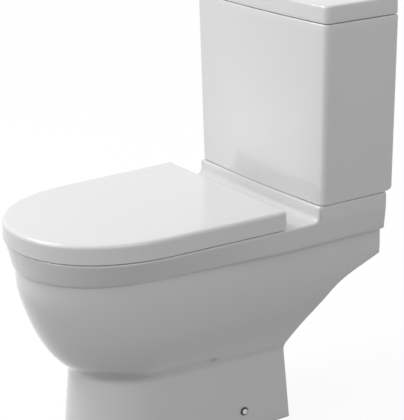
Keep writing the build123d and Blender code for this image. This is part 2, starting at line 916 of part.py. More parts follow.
housing_top = valve_foot + valve_flange_thickness + housing_height
cap_foot = housing_top - housing_cap
pin_height = cistern_base + rocker_height
with BuildPart() as flush_valve_housing:
    add(disc(seat_foot, housing_radius, housing_height, bore=housing_radius - housing_wall))
    add(disc(seat_foot, valve_flange_radius, housing_wall, bore=housing_radius - housing_wall))
    for foot, rise in (
        (window_foot, window_height),
        (upper_window_foot, upper_window_height),
    ):
        with Locations((0, valve_y, seat_foot + foot)):
            for length, width in (
                (2 * housing_radius + overrun, window_width),
                (window_width, 2 * housing_radius + overrun),
            ):
                Box(
                    length,
                    width,
                    rise,
                    align=(Align.CENTER, Align.CENTER, Align.MIN),
                    mode=Mode.SUBTRACT,
                )
    add(disc(cap_foot, housing_radius, housing_cap))
    with BuildSketch(Plane.XY.offset(cap_foot)):
        with Locations(*[(side * rod_side, valve_y + side * lane) for side in (-1, 1)]):
            Circle(rod_hole_radius)
    extrude(amount=housing_cap, mode=Mode.SUBTRACT)
    cheek_inner = lane + lane_width / 2 + cheek_gap
    with BuildSketch(Plane.XY.offset(pin_height - cheek_drop)):
        for side in (-1, 1):
            with Locations((0, valve_y + side * (cheek_inner + cheek_thickness / 2))):
                Rectangle(2 * cheek_half_width, cheek_thickness)
    extrude(amount=cap_foot - pin_height + cheek_drop)
    with BuildSketch(Plane.XZ.offset(-valve_y - cheek_inner - cheek_thickness)):
        with Locations((0, pin_height)):
            Circle(rocker_pin_radius + running_gap)
    extrude(amount=2 * (cheek_inner + cheek_thickness), mode=Mode.SUBTRACT)
flush_valve_housing.part.label = "flush_valve_housing"
export_step(flush_valve_housing.part, "parts/flush_valve_housing.step")

with BuildPart() as rocker_pin:
    with BuildSketch(Plane.XZ.offset(-valve_y - cheek_inner - cheek_thickness)):
        with Locations((0, pin_height)):
            Circle(rocker_pin_radius)
    extrude(amount=2 * (cheek_inner + cheek_thickness))
rocker_pin.part.label = "rocker_pin"
export_step(rocker_pin.part, "parts/rocker_pin.step")

for name, side in (("full", -1), ("half", 1)):
    lane_front = side * lane - lane_width / 2
    with BuildPart() as rocker:
        with BuildSketch(Plane.XZ.offset(-valve_y - lane_front - lane_width)):
            with Locations((side * (rocker_push_arm - rocker_lift_arm) / 2, pin_height)):
                SlotCenterToCenter(rocker_push_arm + rocker_lift_arm, rocker_thickness)
            with Locations((0, pin_height)):
                Circle(rocker_pin_radius + running_gap, mode=Mode.SUBTRACT)
        extrude(amount=lane_width)
    rocker.part.label = f"{name}_rocker"
    export_step(rocker.part, f"parts/{name}_rocker.step")

# Overflow tube with its collar and hook, and the yoke that lifts it
seal_foot = seat_foot + valve_seat_height + seat_gap
tube_foot = seal_foot + seat_seal_thickness
hook_foot = rocker_top + hook_gap
collar_foot = cistern_base + collar_height
with BuildPart() as flush_valve_tube:
    add(disc(tube_foot, tube_radius, cistern_base + tube_top - tube_foot, bore=tube_radius - tube_wall))
    add(disc(tube_foot, tube_flange_radius, tube_flange_thickness, bore=tube_radius - tube_wall))
    add(disc(collar_foot, collar_radius, collar_thickness, bore=tube_radius - tube_wall))
    with BuildSketch(Plane.XY.offset(collar_foot)):
        with Locations((-(yoke_radius + tube_radius) / 2, valve_y + lane)):
            Rectangle(yoke_radius - tube_radius, lane_width)
    extrude(amount=collar_thickness)
    with BuildSketch(Plane.XY.offset(collar_foot)):
        with Locations((-yoke_radius + prong_thickness / 2, valve_y + lane)):
            Rectangle(prong_thickness, lane_width)
    extrude(amount=hook_foot + hook_thickness - collar_foot)
    with BuildSketch(Plane.XY.offset(hook_foot)):
        with Locations((-yoke_radius + (prong_thickness + hook_reach) / 2, valve_y + lane)):
            Rectangle(prong_thickness + hook_reach, lane_width)
    extrude(amount=hook_thickness)
flush_valve_tube.part.label = "flush_valve_tube"
export_step(flush_valve_tube.part, "parts/flush_valve_tube.step")

with BuildPart() as flush_valve_seat_seal:
    add(disc(seal_foot, seat_seal_radius, seat_seal_thickness, bore=tube_radius - tube_wall))
flush_valve_seat_seal.part.label = "flush_valve_seat_seal"
export_step(flush_valve_seat_seal.part, "parts/flush_valve_seat_seal.step")

yoke_foot = collar_foot - seat_gap - collar_thickness
with BuildPart() as lift_yoke:
    add(disc(yoke_foot, yoke_radius, collar_thickness, bore=tube_radius + yoke_gap))
    with BuildSketch(Plane.XY.offset(yoke_foot)):
        with Locations((yoke_radius - prong_thickness / 2, valve_y - lane)):
            Rectangle(prong_thickness, lane_width)
    extrude(amount=hook_foot + hook_thickness - yoke_foot)
    with BuildSketch(Plane.XY.offset(hook_foot)):
        with Locations((yoke_radius - (prong_thickness + hook_reach) / 2, valve_y - lane)):
            Rectangle(prong_thickness + hook_reach, lane_width)
    extrude(amount=hook_thickness)
lift_yoke.part.label = "lift_yoke"
export_step(lift_yoke.part, "parts/lift_yoke.step")

# Fill valve
fill_x = -supply_half_spacing
riser_top = cistern_base + seal_thickness + tail_flange_thickness + riser_height - overrun
with BuildPart() as fill_valve_body:
    add(disc(cistern_base - tail_drop, tail_radius, tail_drop + seal_thickness, x=fill_x))
    shank_foot = nut_foot - seat_gap
    add(disc(shank_foot, tail_shank_radius, cistern_base + seal_thickness - shank_foot, x=fill_x))
    add(disc(cistern_base + seal_thickness, tail_flange_radius, tail_flange_thickness, x=fill_x))
    add(
        disc(
            cistern_base + seal_thickness,
            riser_radius,
            riser_top - cistern_base - seal_thickness,
            x=fill_x,
        )
    )
    add(disc(cistern_base + stop_height, stop_radius, stop_thickness, x=fill_x))
    with BuildSketch(Plane.XY.offset(cistern_base - tail_drop)):
        with Locations((fill_x, valve_y)):
            Circle(tail_bore)
    extrude(amount=riser_top - cistern_base + tail_drop, mode=Mode.SUBTRACT)
fill_valve_body.part.label = "fill_valve_body"
export_step(fill_valve_body.part, "parts/fill_valve_body.step")

with BuildPart() as tail_washers:
    for side in (-1, 1):
        add(
            disc(
                cistern_base,
                tail_flange_radius,
                seal_thickness,
                x=side * supply_half_spacing,
                bore=tail_shank_radius + seat_gap,
            )
        )
tail_washers.part.label = "tail_washers"
export_step(tail_washers.part, "parts/tail_washers.step")

with BuildPart() as tail_nuts:
    with BuildSketch(Plane.XY.offset(nut_foot)):
        with Locations(*[(side * supply_half_spacing, valve_y) for side in (-1, 1)]):
            RegularPolygon(tail_nut_radius, 6)
            Circle(tail_shank_radius + running_gap, mode=Mode.SUBTRACT)
    extrude(amount=backnut_height)
tail_nuts.part.label = "tail_nuts"
export_step(tail_nuts.part, "parts/tail_nuts.step")

with BuildPart() as blanking_plug:
    plug_top = cistern_base + seal_thickness
    add(disc(plug_top, tail_flange_radius, plug_flange_thickness, x=supply_half_spacing))
    plug_length = plug_tail + seal_thickness
    add(disc(cistern_base - plug_tail, tail_shank_radius, plug_length, x=supply_half_spacing))
blanking_plug.part.label = "blanking_plug"
export_step(blanking_plug.part, "parts/blanking_plug.step")

# Float cup, its rod and the lever that it works
float_foot = cistern_base + stop_height + stop_thickness + seat_gap
with BuildPart() as float_cup:
    add(disc(float_foot, float_radius, float_height, x=fill_x, bore=float_bore))
    with BuildSketch(Plane.XY.offset(float_foot)):
        with Locations((fill_x, valve_y)):
            Circle(float_radius - float_wall)
            Circle(float_bore + float_wall, mode=Mode.SUBTRACT)
    extrude(amount=float_height - float_wall, mode=Mode.SUBTRACT)
float_cup.part.label = "float_cup"
export_step(float_cup.part, "parts/float_cup.step")

lever_pivot = (fill_x - lever_pivot_side, riser_top + head_height / 2 + lever_pivot_rise)
half_swing = math.asin(float_travel / 2 / lever_length)
float_rod_x = lever_pivot[0] + lever_length
lever_tip_height = lever_pivot[1] - float_travel / 2
with BuildPart() as fill_valve_head:
    add(disc(riser_top - head_height / 2, head_radius, head_height, x=fill_x))
    with BuildSketch(Plane.XY.offset(riser_top - head_height / 2)):
        with Locations((fill_x, valve_y)):
            Circle(riser_radius + running_gap)
    extrude(amount=head_height / 2 + running_gap, mode=Mode.SUBTRACT)
    ear_inner = lever_width / 2 + ear_gap
    with BuildSketch(Plane.XZ.offset(-valve_y - ear_inner - ear_thickness)):
        with Locations(lever_pivot):
            Circle(ear_radius)
        with Locations((lever_pivot[0], (lever_pivot[1] + riser_top) / 2)):
            Rectangle(2 * ear_radius, lever_pivot[1] - riser_top)
        with Locations(lever_pivot):
            Circle(lever_pin_radius + running_gap, mode=Mode.SUBTRACT)
    extrude(amount=2 * (ear_inner + ear_thickness))
    with BuildSketch(Plane.XZ.offset(-valve_y - ear_inner)):
        with Locations((fill_x, riser_top + head_height / 2 + lever_pivot_rise)):
            Rectangle(4 * head_radius, 2 * lever_pivot_rise)
    extrude(amount=2 * ear_inner, mode=Mode.SUBTRACT)
fill_valve_head.part.label = "fill_valve_head"
export_step(fill_valve_head.part, "parts/fill_valve_head.step")

with BuildPart() as float_lever_pin:
    with BuildSketch(Plane.XZ.offset(-valve_y - ear_inner - ear_thickness)):
        with Locations(lever_pivot):
            Circle(lever_pin_radius)
    extrude(amount=2 * (ear_inner + ear_thickness))
float_lever_pin.part.label = "float_lever_pin"
export_step(float_lever_pin.part, "parts/float_lever_pin.step")

lever_plane = Plane(
    origin=(lever_pivot[0], valve_y + lever_width / 2, lever_pivot[1]),
    x_dir=(math.cos(half_swing), 0, -math.sin(half_swing)),
    z_dir=(0, -1, 0),
)
with BuildPart() as float_lever:
    with BuildSketch(lever_plane):
        with Locations((lever_length / 2, 0)):
            SlotOverall(lever_length + 2 * lever_thickness, lever_thickness)
        Circle(lever_pin_radius * 2)
        Circle(lever_pin_radius + running_gap, mode=Mode.SUBTRACT)
    extrude(amount=lever_width)
    with BuildSketch(Plane.XY.offset(lever_tip_height - lever_length)):
        with Locations((float_rod_x, valve_y)):
            SlotOverall(2 * lever_slot_half, 2 * lever_slot_radius)
    extrude(amount=2 * lever_length, mode=Mode.SUBTRACT)
float_lever.part.label = "float_lever"
export_step(float_lever.part, "parts/float_lever.step")

clip_top = lever_tip_height - lever_thickness / 2 - float_clip_gap
with BuildPart() as float_rod:
    add(
        disc(
            float_foot + float_height + seat_gap,
            float_rod_radius,
            lever_tip_height + float_rod_top - float_foot - float_height,
            x=float_rod_x,
        )
    )
    add(disc(clip_top - float_clip_height, float_clip_radius, float_clip_height, x=float_rod_x))
float_rod.part.label = "float_rod"
export_step(float_rod.part, "parts/float_rod.step")

with BuildPart() as fill_drop_tube:
    with BuildLine() as drop_path:
        FilletPolyline(
            (fill_x, valve_y - head_radius - seat_gap, riser_top),
            (fill_x, valve_y - drop_tube_reach, riser_top),
            (fill_x, valve_y - drop_tube_reach, cistern_base + drop_tube_foot),
            radius=drop_tube_bend,
        )
    with BuildSketch(Plane.XZ.offset(-valve_y + head_radius + seat_gap)):
        with Locations((fill_x, riser_top)):
            Circle(drop_tube_radius)
            Circle(drop_tube_bore, mode=Mode.SUBTRACT)
    sweep(path=drop_path.line)
fill_drop_tube.part.label = "fill_drop_tube"
export_step(fill_drop_tube.part, "parts/fill_drop_tube.step")


# Fixings between the cistern and the pan
def both_sides(half_spacing, distance):
    """List the two mirrored places at a half spacing and a distance from the wall."""
    return [(side * half_spacing, ahead(distance)) for side in (-1, 1)]


shelf_underside = platform_height - deck_thickness
bolt_places = both_sides(bolt_half_spacing, valve_ahead)
inner_washer_top = cistern_base + seal_thickness + steel_washer_thickness
with BuildPart() as cistern_bolts:
    with BuildSketch(Plane.XY.offset(shelf_underside - bolt_tail)):
        with Locations(*bolt_places):
            Circle(bolt_radius)
    extrude(amount=inner_washer_top - shelf_underside + bolt_tail)
    with BuildSketch(Plane.XY.offset(inner_washer_top)):
        with Locations(*bolt_places):
            RegularPolygon(bolt_head_radius, 6)
    extrude(amount=bolt_head_height)
cistern_bolts.part.label = "cistern_bolts"
export_step(cistern_bolts.part, "parts/cistern_bolts.step")

with BuildPart() as bolt_rubber_washers:
    with BuildSketch(Plane.XY.offset(cistern_base)):
        with Locations(*bolt_places):
            Circle(rubber_washer_radius)
            Circle(bolt_radius + seat_gap, mode=Mode.SUBTRACT)
    extrude(amount=seal_thickness)
bolt_rubber_washers.part.label = "bolt_rubber_washers"
export_step(bolt_rubber_washers.part, "parts/bolt_rubber_washers.step")

with BuildPart() as bolt_steel_washers:
    for washer_foot in (cistern_base + seal_thickness, shelf_underside - steel_washer_thickness):
        with BuildSketch(Plane.XY.offset(washer_foot)):
            with Locations(*bolt_places):
                Circle(steel_washer_radius)
                Circle(bolt_radius + seat_gap, mode=Mode.SUBTRACT)
        extrude(amount=steel_washer_thickness)
bolt_steel_washers.part.label = "bolt_steel_washers"
export_step(bolt_steel_washers.part, "parts/bolt_steel_washers.step")

wing_top = shelf_underside - steel_washer_thickness
with BuildPart() as bolt_wing_nuts:
    with BuildSketch(Plane.XY.offset(wing_top)):
        with Locations(*bolt_places):
            Circle(wing_hub_radius)
            Circle(bolt_radius + running_gap, mode=Mode.SUBTRACT)
    extrude(amount=-wing_height)
    with BuildSketch(Plane.XY.offset(wing_top - wing_height / 3)):
        with Locations(*bolt_places):
            Rectangle(wing_thickness, 2 * wing_span)
            Circle(wing_hub_radius - running_gap, mode=Mode.SUBTRACT)
    extrude(amount=-wing_height)
bolt_wing_nuts.part.label = "bolt_wing_nuts"
export_step(bolt_wing_nuts.part, "parts/bolt_wing_nuts.step")

# Fixings between the pan and the floor
def pedestal_half(height):
    """Give the half width of the tapering pedestal at a height."""
    return foot_half_width + (crease_half_width - foot_half_width) * height / crease_height


skin_side = pedestal_half(side_fixing_height)
with BuildPart() as floor_brackets:
    for side in (-1, 1):
        with BuildSketch(Plane.XZ.offset(-ahead(side_fixing_ahead) - bracket_width / 2)):
            with BuildLine():
                leg_foot = side * (pedestal_half(bracket_height) - china_wall - seat_gap)
                inner = leg_foot - side * bracket_thickness
                Polyline(
                    (leg_foot, 0),
                    (leg_foot, bracket_height),
                    (inner, bracket_height),
                    (inner, bracket_thickness),
                    (leg_foot - side * bracket_reach, bracket_thickness),
                    (leg_foot - side * bracket_reach, 0),
                    close=True,
                )
            make_face()
        extrude(amount=bracket_width)
    with BuildSketch(Plane.XY):
        with Locations(*both_sides(bracket_hole_side, side_fixing_ahead)):
            Circle(bracket_hole_radius)
    extrude(amount=bracket_thickness, mode=Mode.SUBTRACT)
    with BuildSketch(Plane.YZ.offset(-pan_half_width)):
        with Locations((ahead(side_fixing_ahead), side_fixing_height)):
            Circle(screw_radius + running_gap)
    extrude(amount=2 * pan_half_width, mode=Mode.SUBTRACT)
floor_brackets.part.label = "floor_brackets"
export_step(floor_brackets.part, "parts/floor_brackets.step")

with BuildPart() as side_sleeves:
    for side in (-1, 1):
        fixing_plane = Plane(
            origin=(side * (skin_side + seat_gap), ahead(side_fixing_ahead), side_fixing_height),
            x_dir=(0, side, 0),
            z_dir=(side, 0, 0),
        )
        with BuildSketch(fixing_plane):
            Circle(sleeve_flange_radius)
            Circle(screw_head_radius + seat_gap, mode=Mode.SUBTRACT)
        extrude(amount=sleeve_flange_thickness)
        with BuildSketch(fixing_plane):
            Circle(sleeve_barrel_radius)
            Circle(screw_radius + seat_gap, mode=Mode.SUBTRACT)
        extrude(amount=-china_wall + seat_gap)
side_sleeves.part.label = "side_sleeves"
export_step(side_sleeves.part, "parts/side_sleeves.step")

with BuildPart() as side_screws:
    for side in (-1, 1):
        head_plane = Plane(
            origin=(side * (skin_side + seat_gap), ahead(side_fixing_ahead), side_fixing_height),
            x_dir=(0, side, 0),
            z_dir=(side, 0, 0),
        )
        with BuildSketch(head_plane):
            Circle(screw_head_radius)
        extrude(amount=screw_head_height)
        with BuildSketch(head_plane):
            Circle(screw_radius)
        extrude(amount=-screw_length)
        with BuildSketch(head_plane.offset(screw_head_height)):
            Rectangle(2 * screw_head_radius + overrun, screw_slot_width, rotation=60)
        extrude(amount=-screw_slot_depth, mode=Mode.SUBTRACT)
side_screws.part.label = "side_screws"
export_step(side_screws.part, "parts/side_screws.step")

# Hinge of the seat and its cover
gasket_top = rim_height + hinge_gasket_thickness
hinge_places = both_sides(hinge_half_spacing, hinge_ahead)
with BuildPart() as hinge_gaskets:
    with BuildSketch(Plane.XY.offset(rim_height)):
        with Locations(*hinge_places):
            Circle(post_base_radius)
            Circle(hinge_bolt_radius + seat_gap, mode=Mode.SUBTRACT)
    extrude(amount=hinge_gasket_thickness)
hinge_gaskets.part.label = "hinge_gaskets"
export_step(hinge_gaskets.part, "parts/hinge_gaskets.step")


def barrel(inner, width):
    """Make a mirrored pair of barrels about the hinge axis, from an inner side over a width."""
    with BuildPart() as pair:
        for side in (-1, 1):
            with BuildSketch(Plane.YZ.offset(side * inner)):
                with Locations((ahead(hinge_ahead), hinge_height)):
                    Circle(barrel_radius)
            extrude(amount=side * width)
    return pair.part


def pin_bore(inner, width, radius):
    """Make a mirrored pair of round bars about the hinge axis."""
    with BuildPart() as pair:
        for side in (-1, 1):
            with BuildSketch(Plane.YZ.offset(side * inner)):
                with Locations((ahead(hinge_ahead), hinge_height)):
                    Circle(radius)
            extrude(amount=side * width)
    return pair.part


post_inner = hinge_half_spacing - post_width / 2
ring_lug_inner = post_inner + post_width + lug_gap
cover_lug_inner = ring_lug_inner + lug_width + lug_gap
pin_length = cover_lug_inner + lug_width - post_inner - lug_gap
neck_depth = 1.5 * barrel_radius
with BuildPart() as hinge_posts:
    with BuildSketch(Plane.XY.offset(gasket_top)):
        with Locations(*hinge_places):
            Circle(post_base_radius)
    extrude(amount=post_base_thickness)
    with BuildSketch(Plane.XY.offset(gasket_top)):
        with Locations(*hinge_places):
            Rectangle(post_width, neck_depth)
    extrude(amount=hinge_height - gasket_top)
    add(barrel(post_inner, post_width))
    with BuildSketch(Plane.XY.offset(gasket_top)):
        with Locations(*hinge_places):
            Circle(hinge_bolt_radius + running_gap)
    extrude(amount=hinge_height - barrel_radius - gasket_top, mode=Mode.SUBTRACT)
    add(pin_bore(post_inner + lug_gap, post_width, pin_radius + running_gap), mode=Mode.SUBTRACT)
hinge_posts.part.label = "hinge_posts"
export_step(hinge_posts.part, "parts/hinge_posts.step")

with BuildPart() as damper_pins:
    add(pin_bore(post_inner + 2 * lug_gap, pin_length - lug_gap, pin_radius))
damper_pins.part.label = "damper_pins"
export_step(damper_pins.part, "parts/damper_pins.step")

deck_underside = rim_height - deck_thickness
with BuildPart() as hinge_bolts:
    with BuildSketch(Plane.XY.offset(deck_underside - hinge_bolt_tail)):
        with Locations(*hinge_places):
            Circle(hinge_bolt_radius)
    extrude(amount=hinge_height - barrel_radius - seat_gap - deck_underside + hinge_bolt_tail)
hinge_bolts.part.label = "hinge_bolts"
export_step(hinge_bolts.part, "parts/hinge_bolts.step")

with BuildPart() as hinge_nuts:
    with BuildSketch(Plane.XY.offset(deck_underside)):
        with Locations(*hinge_places):
            RegularPolygon(hinge_nut_radius, 6)
            Circle(hinge_bolt_radius + running_gap, mode=Mode.SUBTRACT)
    extrude(amount=-hinge_nut_height)
hinge_nuts.part.label = "hinge_nuts"
export_step(hinge_nuts.part, "parts/hinge_nuts.step")


# Seat ring and cover
def seat_outline(height, inset, rear, corner=0):
    """Draw the plan of the cover, drawn in by the inset, from a rear edge forward."""
    return plan_outline(
        height,
        rear,
        rim_mid,
        cover_nose - inset,
        cover_rear_half - inset,
        rim_half_width - inset,
        nose_power,
        corner=corner,
    )


ring_inset = cover_skirt + ring_side_gap
ring_top = ring_foot + ring_thickness
with BuildPart() as seat_ring:
    extrude(
        to_extrude=seat_outline(ring_foot, ring_inset, ring_rear, corner=cover_corner_radius),
        amount=ring_thickness,
    )
    fillet(seat_ring.edges().group_by(Axis.Z)[-1], ring_edge_radius)
    extrude(
        to_extrude=oval_outline(
            ring_foot, ring_hole_rear, ring_hole_mid, ring_hole_nose, ring_hole_half, bowl_power
        ),
        amount=ring_thickness,
        mode=Mode.SUBTRACT,
    )
    hole_rim = seat_ring.edges().group_by(Axis.Z)[-1].filter_by(GeomType.BSPLINE)
    hole_rim = hole_rim.sort_by_distance((0, ahead(ring_hole_mid), ring_top))[:4]
    fillet(hole_rim, ring_edge_radius)
    for side in (-1, 1):
        with BuildSketch(Plane.YZ.offset(side * ring_lug_inner)):
            with BuildLine():
                Polyline(
                    (ahead(hinge_ahead), hinge_height + barrel_radius / 2),
                    (ahead(hinge_ahead), hinge_height - barrel_radius),
                    (ahead(ring_rear + 2 * barrel_radius), ring_foot + ring_thickness / 3),
                    (ahead(ring_rear + 2 * barrel_radius), ring_top - ring_edge_radius / 4),
                    close=True,
                )
            make_face()
        extrude(amount=side * lug_width)
    add(barrel(ring_lug_inner, lug_width))
    add(
        pin_bore(ring_lug_inner - lug_gap, lug_width + 2 * lug_gap, pin_radius + running_gap),
        mode=Mode.SUBTRACT,
    )
seat_ring.part.label = "seat_ring"
export_step(seat_ring.part, "parts/seat_ring.step")

plate_foot = cover_top - cover_plate
with BuildPart() as seat_cover:
    extrude(
        to_extrude=seat_outline(cover_foot, 0, cover_rear, corner=cover_corner_radius),
        amount=cover_top - cover_foot,
    )
    fillet(seat_cover.edges().group_by(Axis.Z)[-1], cover_edge_radius)
    extrude(
        to_extrude=seat_outline(
            cover_foot,
            cover_skirt,
            cover_rear + cover_skirt,
            corner=cover_corner_radius - cover_skirt,
        ),
        amount=plate_foot - cover_foot,
        mode=Mode.SUBTRACT,
    )
    with BuildSketch(Plane.XY.offset(cover_foot)):
        with Locations((0, ahead(cover_rear))):
            Rectangle(2 * cover_rear_opening, 2 * cover_skirt)
    extrude(amount=plate_foot - cover_foot, mode=Mode.SUBTRACT)
    # The skirt's rear foot is cut back to the circle that it sweeps about the hinge
    with BuildSketch(Plane.YZ.offset(-cover_rear_half - overrun)):
        with Locations((ahead(hinge_ahead), hinge_height)):
            Rectangle(2 * overall_depth, 2 * overrun + cover_top, align=(Align.MIN, Align.MAX))
            Circle(cover_swing_radius, mode=Mode.SUBTRACT)
    extrude(amount=2 * (cover_rear_half + overrun), mode=Mode.SUBTRACT)
    for side in (-1, 1):
        with BuildSketch(Plane.YZ.offset(side * cover_lug_inner)):
            with BuildLine():
                Polyline(
                    (ahead(hinge_ahead - barrel_radius), hinge_height),
                    (ahead(hinge_ahead - barrel_radius), plate_foot),
                    (ahead(hinge_ahead + 2 * barrel_radius), plate_foot),
                    (ahead(hinge_ahead + barrel_radius), hinge_height),
                    close=True,
                )
            make_face()
        extrude(amount=side * lug_width)
    add(barrel(cover_lug_inner, lug_width))
    add(
        pin_bore(cover_lug_inner - lug_gap, lug_width + 2 * lug_gap, pin_radius + running_gap),
        mode=Mode.SUBTRACT,
    )
seat_cover.part.label = "seat_cover"
export_step(seat_cover.part, "parts/seat_cover.step")

with BuildPart() as ring_buffers:
    with BuildSketch(Plane.XY.offset(rim_height + seat_gap)):
        with Locations(
            *both_sides(ring_buffer_half, ring_buffer_rear),
            *both_sides(ring_buffer_half, ring_buffer_front),
        ):
            Circle(buffer_radius)
    extrude(amount=ring_foot - rim_height - seat_gap)
ring_buffers.part.label = "ring_buffers"
export_step(ring_buffers.part, "parts/ring_buffers.step")

with BuildPart() as cover_buffers:
    with BuildSketch(Plane.XY.offset(ring_top + seat_gap)):
        with Locations(
            *both_sides(cover_buffer_half, cover_buffer_rear),
            *both_sides(cover_buffer_half, cover_buffer_front),
        ):
            Circle(buffer_radius)
    extrude(amount=plate_foot - ring_top - seat_gap)
cover_buffers.part.label = "cover_buffers"
export_step(cover_buffers.part, "parts/cover_buffers.step")
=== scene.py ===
import json
import logging
import math
from dataclasses import dataclass, field
from enum import Enum
from typing import Dict, List, Optional, Sequence, Tuple, Union

import bmesh
import bpy
import numpy as np
from mathutils import Matrix, Vector


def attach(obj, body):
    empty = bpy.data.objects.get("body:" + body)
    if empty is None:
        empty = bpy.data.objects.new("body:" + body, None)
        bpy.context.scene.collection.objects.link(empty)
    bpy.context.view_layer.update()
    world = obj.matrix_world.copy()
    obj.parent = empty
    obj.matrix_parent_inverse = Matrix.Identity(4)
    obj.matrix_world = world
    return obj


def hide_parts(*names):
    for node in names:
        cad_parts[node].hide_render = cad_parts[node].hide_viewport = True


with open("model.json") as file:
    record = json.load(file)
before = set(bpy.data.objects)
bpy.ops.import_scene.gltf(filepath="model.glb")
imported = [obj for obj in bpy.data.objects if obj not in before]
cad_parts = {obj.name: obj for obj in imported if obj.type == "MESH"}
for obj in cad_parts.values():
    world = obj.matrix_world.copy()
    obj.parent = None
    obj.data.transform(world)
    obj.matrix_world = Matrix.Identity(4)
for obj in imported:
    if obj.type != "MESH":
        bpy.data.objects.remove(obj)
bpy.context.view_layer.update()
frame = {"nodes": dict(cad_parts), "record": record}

# All lengths are in millimetres: y of the wall, the hinge axis's distance from the wall and its
# height, the radius of the hinge's barrels, and the flush inlet's distance from the wall.
MM = 0.001
WALL = 329.0
HINGE = (246.0, 420.0)
BARREL = 8.0
INLET = 85.0
QUARTER = math.pi / 2
TINY = 1e-6
LOG = logging.getLogger("toilet")

Colour = Tuple[float, float, float]
Levels = Tuple[Tuple[float, ...], ...]
Noise = Sequence[Union[float, Sequence[float]]]
Value = Union[float, Sequence[float], "Link"]


class Body(Enum):
    """The bodies of the frame that pieces ride on."""

    FIXED = "fixed"
    LID = "cistern_lid"
    FULL_BUTTON = "full_button"
    HALF_BUTTON = "half_button"
    RING = "seat_ring"
    COVER = "seat_cover"


class Slot(Enum):
    """The record's material slots."""

    CHINA = "white_china"
    SEAT = "white_seat"
    CHROME = "chrome"
    ZINC = "zinc_steel"
    BRASS = "brass"
    RUBBER = "rubber"
    VALVE = "valve_plastic"
    LEVER = "cap_plastic"
    DARK = "dark_plastic"


# Shader building


class Link:
    """A shader value with Python's operators, each of which adds a Math node."""

    def __init__(self, shader: "Shader", socket: bpy.types.NodeSocket) -> None:
        """Keep the shader and the socket that gives the value."""
        self.shader, self.socket = shader, socket

    def _math(self, operation: str, first: Value, second: Value) -> "Link":
        """Add a Math node that works on two values, and give its result."""
        return self.shader.node("ShaderNodeMath", {"operation": operation}, {0: first, 1: second})

    def __add__(self, other: Value) -> "Link":
        """Add."""
        return self._math("ADD", self, other)

    def __mul__(self, other: Value) -> "Link":
        """Multiply."""
        return self._math("MULTIPLY", self, other)

    def __rsub__(self, other: Value) -> "Link":
        """Subtract from the other."""
        return self._math("SUBTRACT", other, self)

    def __or__(self, other: Value) -> "Link":
        """Give the larger of the two."""
        return self._math("MAXIMUM", self, other)


class Shader:
    """A material, or the world, whose nodes are added by calls."""

    def __init__(self, name: str, world: bool = False) -> None:
        """Make it empty but for its output.

        Args:
            name: its name.
            world: whether it is the world.
        """
        self.owner = (bpy.data.worlds if world else bpy.data.materials).new(name)
        self.owner.use_nodes = True
        self.tree = self.owner.node_tree
        self.tree.nodes.clear()
        kind = "ShaderNodeOutputWorld" if world else "ShaderNodeOutputMaterial"
        self.output = self.tree.nodes.new(kind)

    def node(
        self,
        kind: str,
        settings: Optional[Dict[str, object]] = None,
        inputs: Optional[Dict[Union[int, str], Value]] = None,
        result: Union[int, str] = 0,
    ) -> Link:
        """Add a node, set it and link it.

        Args:
            kind: the node's type.
            settings: its properties.
            inputs: numbers, colours or links by socket.
            result: the output socket to give back.

        Returns:
            The output.
        """
        made = self.tree.nodes.new(kind)
        for name, value in (settings or {}).items():
            setattr(made, name, value)
        for name, value in (inputs or {}).items():
            socket = made.inputs[name]
            if isinstance(value, Link):
                self.tree.links.new(value.socket, socket)
            else:
                socket.default_value = value
        return Link(self, made.outputs[result])

    def place(self) -> Link:
        """Give object coordinates, in metres."""
        return self.node("ShaderNodeTexCoord", result="Object")

    def height(self) -> Link:
        """Give the height over the floor in metres."""
        return self.node("ShaderNodeSeparateXYZ", inputs={0: self.place()}, result="Z")

    def noise(
        self, scale: float, detail: float = 2.0, stretch: Sequence[float] = (1, 1, 1)
    ) -> Link:
        """Give smooth noise from 0 to 1.

        Args:
            scale: features to the metre.
            detail: octaves.
            stretch: scale by axis.

        Returns:
            The noise.
        """
        spot = self.node("ShaderNodeMapping", inputs={"Vector": self.place(), "Scale": stretch})
        return self.node(
            "ShaderNodeTexNoise", inputs={"Vector": spot, "Scale": scale, "Detail": detail}
        )

    def blend(self, mask: Value, low: Union[Colour, Link], high: Union[Colour, Link]) -> Link:
        """Mix two colours by a mask."""
        low, high = (tone if isinstance(tone, Link) else (*tone, 1.0) for tone in (low, high))
        return self.node(
            "ShaderNodeMix", {"data_type": "RGBA"}, {0: mask, 6: low, 7: high}, result=2
        )

    def bump(self, height: Value, distance: float, normal: Optional[Link] = None) -> Link:
        """Turn a height into a normal.

        Args:
            height: height from 0 to 1.
            distance: metres that 1 stands for.
            normal: a normal to build on.

        Returns:
            The normal.
        """
        inputs = {"Height": height, "Distance": distance, "Strength": 1.0}
        if normal is not None:
            inputs["Normal"] = normal
        return self.node("ShaderNodeBump", inputs=inputs)

    def seen(self) -> Link:
        """Give 1 on rays of the camera, off gloss and through glass, and 0 on the others."""
        kinds = ("Is Camera Ray", "Is Glossy Ray", "Is Transmission Ray")
        camera, gloss, glass = (self.node("ShaderNodeLightPath", result=kind) for kind in kinds)
        return camera | gloss | glass

    def principled(self, **inputs: Value) -> Link:
        """Add a Principled shader, with underscores in socket names for spaces."""
        named = {name.replace("_", " "): value for name, value in inputs.items()}
        return self.node("ShaderNodeBsdfPrincipled", inputs=named)

    def finish(self, surface: Link) -> bpy.types.ID:
        """Link the surface to the output and give the material or world."""
        self.tree.links.new(surface.socket, self.output.inputs["Surface"])
        return self.owner


# Finishes


